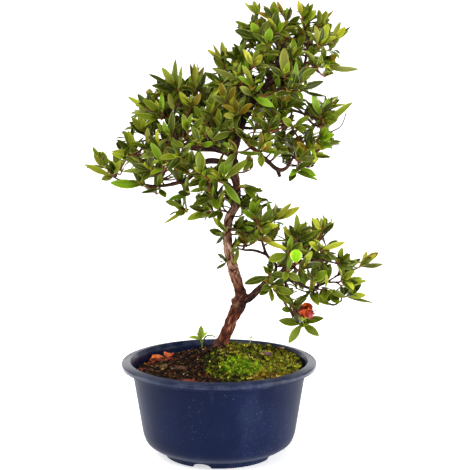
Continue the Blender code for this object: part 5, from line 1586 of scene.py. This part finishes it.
def shown_leaf(root, tip, leaf, depth, tint, rng):
    """A leaf that the view shows, whose end and seen width are as the view has them."""
    wide = leaf[2] if len(leaf) > 2 else USUAL_SEEN_WIDTH
    flat = towards(leaf[0], leaf[1])
    length = max(flat.length * SHOWN_SLACK, rng.uniform(*LEAF_LENGTHS))
    if tint in "yo" and wide < SLIM_SHOWN:
        length = max(flat.length * SLIM_SLACK, SLIM_SHARE * length)
    outwards = 1 if depth < 0 or rng.random() < FORWARD_SHARE else -1
    reach = flat + VIEW_OUT * math.sqrt(max(length ** 2 - flat.length ** 2, 0.0)) * outwards
    reach = tip + reach * MM - root
    heading = reach.normalized()
    square = VIEW_OUT.cross(flat).normalized()
    facing = heading.cross(square).normalized()
    if facing.dot(VIEW_OUT) < 0:
        facing = -facing
    if square.z < 0:
        square = -square
    full = max(min(USUAL_WIDTH, WIDTH_SHARE * length), min(wide, WIDEST_SHOWN))
    roll = math.acos(min(wide / full, 1.0) * FLATTEST)
    face = facing * math.cos(roll) + square * math.sin(roll)
    return grown_leaf(root, heading, face, reach.length / MM, full, LEAF_TONES[tint], arch=SHOWN_ARCH)


def whorled(axis, angle, spread):
    """The heading of a leaf in a whorl, which leans off the axis towards a side, and that side."""
    side = axis.orthogonal().normalized()
    side.rotate(Quaternion(axis, math.radians(angle)))
    return (axis * math.cos(spread) + side * math.sin(spread)).normalized(), side


def added_leaf(shoot, place, kind, attempt, rng):
    """A leaf of a shoot's whorl, a golden angle on from the one before, and turned on at each attempt."""
    spreads, lengths, widths, tints = kind
    is_young = kind is YOUNG_LEAF
    back = YOUNG_BACK if is_young else ADDED_BACK[0] + ADDED_BACK[1] * place
    root = back_from_tip(shoot["stem"], back * MM)
    spread = math.radians(rng.uniform(*spreads))
    length = rng.uniform(*lengths) * (1 if is_young else 1 - SHRINK * attempt)
    width = length * rng.uniform(*widths)
    tint = rng.choice(tints)
    angle = GOLDEN_ANGLE * (place + attempt * TURN_ON) + rng.uniform(-STRAY, STRAY)
    heading, _ = whorled(shoot["axis"], angle, spread)
    face = (shoot["axis"] - heading * shoot["axis"].dot(heading)).normalized() + Vector((0, 0, LOOK_UP))
    return grown_leaf(root, heading, face, length, width, LEAF_TONES[tint])


def new_shoot(stem, shown, depth, behind):
    return {"stem": stem, "shown": shown, "depth": depth, "behind": behind, "leaves": []}


def make_spray(name, samples, taken):
    """A spray's twigs, to its own shoots and to those that stand behind them."""
    back_count, shown, _ = SPRAYS[name]
    rng = random.Random("back " + name)
    middle = [sum(shoot[i] for shoot in shown) / len(shown) for i in range(3)]
    behind = []
    for _ in range(back_count):
        depth = rng.uniform(*BACK_DEPTHS) + BACK_SHARE * abs(middle[2])
        across, up = middle[0] + rng.uniform(*BACK_ACROSS), middle[1] + rng.uniform(*BACK_UP)
        behind.append((across, up, depth, []))
    paths = twig_paths(shown + behind, samples, taken)
    shoots = [new_shoot(path, shoot[3], shoot[2], i >= len(shown))
              for i, (path, shoot) in enumerate(zip(paths, shown + behind))]
    return {"name": name, "middle": middle, "shoots": shoots,
            "twigs": [(path, TWIG_RADII, TWIG_TONES) for path in paths]}


def fill_clouds(sprays, samples):
    """Adds small shoots that fill the clouds, each to its nearest spray and from the nearest wood."""
    rng = random.Random("clouds")
    anchors = [place for place, _, _, _ in samples]
    anchors += [place for spray in sprays for path, _, _ in spray["twigs"] for place in path[1:-1]]
    for across, up, radius in CLOUDS:
        for _ in range(max(1, round(radius ** 2 / SHOOT_AREA))):
            reach, angle = CLOUD_FILL * radius * math.sqrt(rng.random()), rng.uniform(0, 2 * math.pi)
            x, y = across + reach * math.cos(angle), up + reach * math.sin(angle) - CLOUD_DROP
            spray = min(sprays, key=lambda s: math.hypot(s["middle"][0] - x, s["middle"][1] - y))
            _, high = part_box("spray_" + spray["name"])
            front = spray["middle"][2] + BEHIND_SHOWN
            tip = seen(x, y, rng.uniform(front, max(high[1] / MM - HULL_CLEAR, front + FILL_DEPTH)))
            root = min(anchors, key=lambda a: (tip - a).length + UPHILL_COST * max(a.z - tip.z, 0)
                       + (1.0 if (tip - a).length < NEAR_WOOD else 0.0))
            path = sagging(root, tip, FILL_BEND, FILL_SAG)
            spray["shoots"].append(new_shoot(path, [], 0, False))
            spray["twigs"].append((path, FILL_TWIG_RADII, TWIG_TONES))


def grow_shown(spray, thicket):
    """Places the leaves that the view shows on a spray's shoots, and finds each shoot's axis."""
    rng = random.Random("shown " + spray["name"])
    tints = iter(SPRAYS[spray["name"]][2].replace(" ", ""))
    for shoot in spray["shoots"]:
        stem = shoot["stem"]
        lean = min(max((on_view(stem[-1]).x - CROWN_MIDDLE) / CROWN_MIDDLE, -LEAN_MOST), LEAN_MOST)
        axis = Vector((lean, 0, 1.0)) - (stem[-2] - stem[-1]).normalized()
        for i, leaf in enumerate(shoot["shown"]):
            root = back_from_tip(stem, (SHOWN_BACK[0] + SHOWN_BACK[1] * i) * MM)
            grown = shown_leaf(root, stem[-1], leaf, shoot["depth"], next(tints), rng)
            axis += grown["axes"].col[1] * 0.25 + grown["axes"].col[2] * 0.3
            shoot["leaves"].append(grown)
            thicket.add(grown, True)
        shoot["axis"] = axis.normalized()


def grow_added(spray, thicket):
    """Fills each shoot's whorl where its leaves are clear and covered, and puts young leaves round its bud
    where they are covered.
    """
    rng = random.Random("added " + spray["name"])
    for shoot in spray["shoots"]:
        reach = COVER_REACH_BACK if shoot["behind"] else COVER_REACH
        old = BACK_LEAVES if shoot["behind"] else ADDED_LEAVES if shoot["shown"] else FILL_LEAVES
        for i in range(old + YOUNG_LEAVES):
            kind = YOUNG_LEAF if i >= old else OLD_LEAF
            for attempt in range(ADD_TRIES):
                leaf = added_leaf(shoot, i, kind, attempt, rng)
                if thicket.is_covered(leaf, reach) and (kind is YOUNG_LEAF or thicket.is_clear(leaf)):
                    shoot["leaves"].append(leaf)
                    thicket.add(leaf, False)
                    break


samples = wood_samples()
taken = []
thicket = Thicket()
special = {name: make_spray(name, samples, taken) for name in (LIME_LEAF, SPENT_BLOOM)}
sprays = [make_spray(name, samples, taken) for name in SPRAYS if name not in special]
fill_clouds(sprays, samples)
for spray in sprays:
    grow_shown(spray, thicket)
for spray in sprays:
    grow_added(spray, thicket)
for spray in sprays:
    rng = random.Random("buds " + spray["name"])
    leaves = [leaf for shoot in spray["shoots"] for leaf in shoot["leaves"]]
    buds = []
    for shoot in spray["shoots"]:
        size = rng.uniform(0.75, 1.1)
        place = shoot["stem"][-1] + shoot["axis"] * 1.2 * MM
        buds.append((place, shoot["axis"], [part * size for part in BUD_SHAPE],
                     dimmed(BUD_TONE, rng.uniform(0.5, 1.2))))
    for places in PISTILS.get(spray["name"], []):
        path = [seen(*place) for place in places]
        spray["twigs"].append((path, PISTIL_RADII, PISTIL_TONES))
        buds.append((path[-1], VIEW_UP, KNOB_SHAPE, PISTIL_TONES[1]))
    spray_mesh = leafy_mesh(leaves, azalea_blade, spray["twigs"], buds, spray["name"])
    placed("azalea_" + spray["name"], spray_mesh, [leafy, twiggy], ["spray_" + spray["name"]],
           sharp=None)

# The lime leaf: one small roundish leaf in the lower crown, much paler and brighter than all the others,
# with a pale rim. It hangs at the front on a thin twig of its own.
LIME_TONE = tone(126, 178, 4)
LIME_RIB = tone(168, 216, 40)
LIME_RIM = tone(188, 210, 84)
LIME_SIZE = (13.6, 12.2)
LIME_BENDS = {"fold": (0.06, 0.1), "arch": (0.3, 0.4), "twist": 0.1, "wave": 1.4}


def round_outline(along):
    return tapered(along, 1.25, 0.62, 0.12)


round_blade = blade_mesh(round_outline)
limy = leaf_finish("lime_leaf", 0.5, LIME_RIB, LIME_RIM, 1.0)
stem = special[LIME_LEAF]["shoots"][0]["stem"]
leaf = grown_leaf(stem[-1], VIEW_UP, VIEW_OUT, *LIME_SIZE, LIME_TONE, **LIME_BENDS)
lime_mesh = leafy_mesh([leaf], round_blade, special[LIME_LEAF]["twigs"], [], "lime leaf")
placed("pale_lime_leaf", lime_mesh, [limy, twiggy], ["spray_lime_leaf"], sharp=None)

# The spent bloom: an old flower that has dried and shrunk on its stalk. Its crumpled petals close round each
# other, orange-red outside, brown at the left and with a ragged pink edge that hangs out below.
BLOOM_TONES = [tone(222, 78, 20), tone(196, 56, 16), tone(150, 40, 14), tone(232, 98, 34), tone(104, 36, 18)]
BLOOM_PINK = tone(224, 104, 112)
PETAL_COUNT = 13
PETAL_LENGTHS = (11.0, 15.5)
PETAL_WIDTHS = (10, 13)
PETAL_BENDS = {"fold": (-0.35, 0.1), "arch": (1.5, 2.5), "twist": 0.9, "wave": 1.6}
CREASE_TONE = tone(240, 130, 60)
BLOOM_AXIS = Vector((-0.12, -0.25, 0.96)).normalized()
# How far each bit of the ragged edge reaches across, up and out, and its length and width
PINK_BITS = [(5, -5, 5, 6.5, 4.5), (7, -3, 3, 6.0, 4.0), (3, -7, 4, 6.0, 4.0), (6, -7, 1, 5.0, 3.0)]
PISTIL_STEPS = [(3, 0, 6), (7, -1, 6), (10, 0, 6)]

spent = Finish("spent_petal", BLOOM_TONES[0], 0.65, Specular_IOR_Level=0.3)
creases = spent.noise(spent.stretched(spent.places(), (1.0, 1.0, 0.4)), 420.0, 4.0, 0.6, 0.8)
petal_colour = spent.shaded(spent.attribute("tint"), creases * 1.2 + 0.35)
spent.paint("Base Color", spent.mixed(creases.between(0.6, 0.75) * 0.6, petal_colour, CREASE_TONE))
spent.bump(creases, 0.9, 1.2 * MM)
rng = random.Random("bloom")
stem = special[SPENT_BLOOM]["shoots"][0]["stem"]
base = stem[-1] - BLOOM_AXIS * 7 * MM
petals = []
for i in range(PETAL_COUNT):
    spread = math.radians(rng.uniform(4, 12) + 14 * (i / PETAL_COUNT))
    heading, side = whorled(BLOOM_AXIS, GOLDEN_ANGLE * i, spread)
    colour = BLOOM_TONES[2 + 2 * (i % 2)] if side.x < -0.4 else BLOOM_TONES[i % 4]
    petals.append(grown_leaf(base + side * 1.2 * MM, heading, side, rng.uniform(*PETAL_LENGTHS),
                             rng.uniform(*PETAL_WIDTHS), colour, **PETAL_BENDS))
for across, up, out, length, width in PINK_BITS:
    reach = towards(across, up, out)
    petals.append(grown_leaf(stem[-1] + reach * 0.55 * MM, reach.normalized(), VIEW_OUT, length, width,
                             BLOOM_PINK, twist=1.2, wave=1.4))
thread = [stem[-1] + towards(*reach) * MM for reach in PISTIL_STEPS]
twigs = [([*stem[:-1], base], TWIG_RADII, TWIG_TONES), (thread, PISTIL_RADII, PISTIL_TONES)]
bloom_mesh = leafy_mesh(petals, round_blade, twigs, [], "bloom")
placed("old_flower", bloom_mesh, [spent, twiggy], ["spray_spent_bloom"], sharp=None)
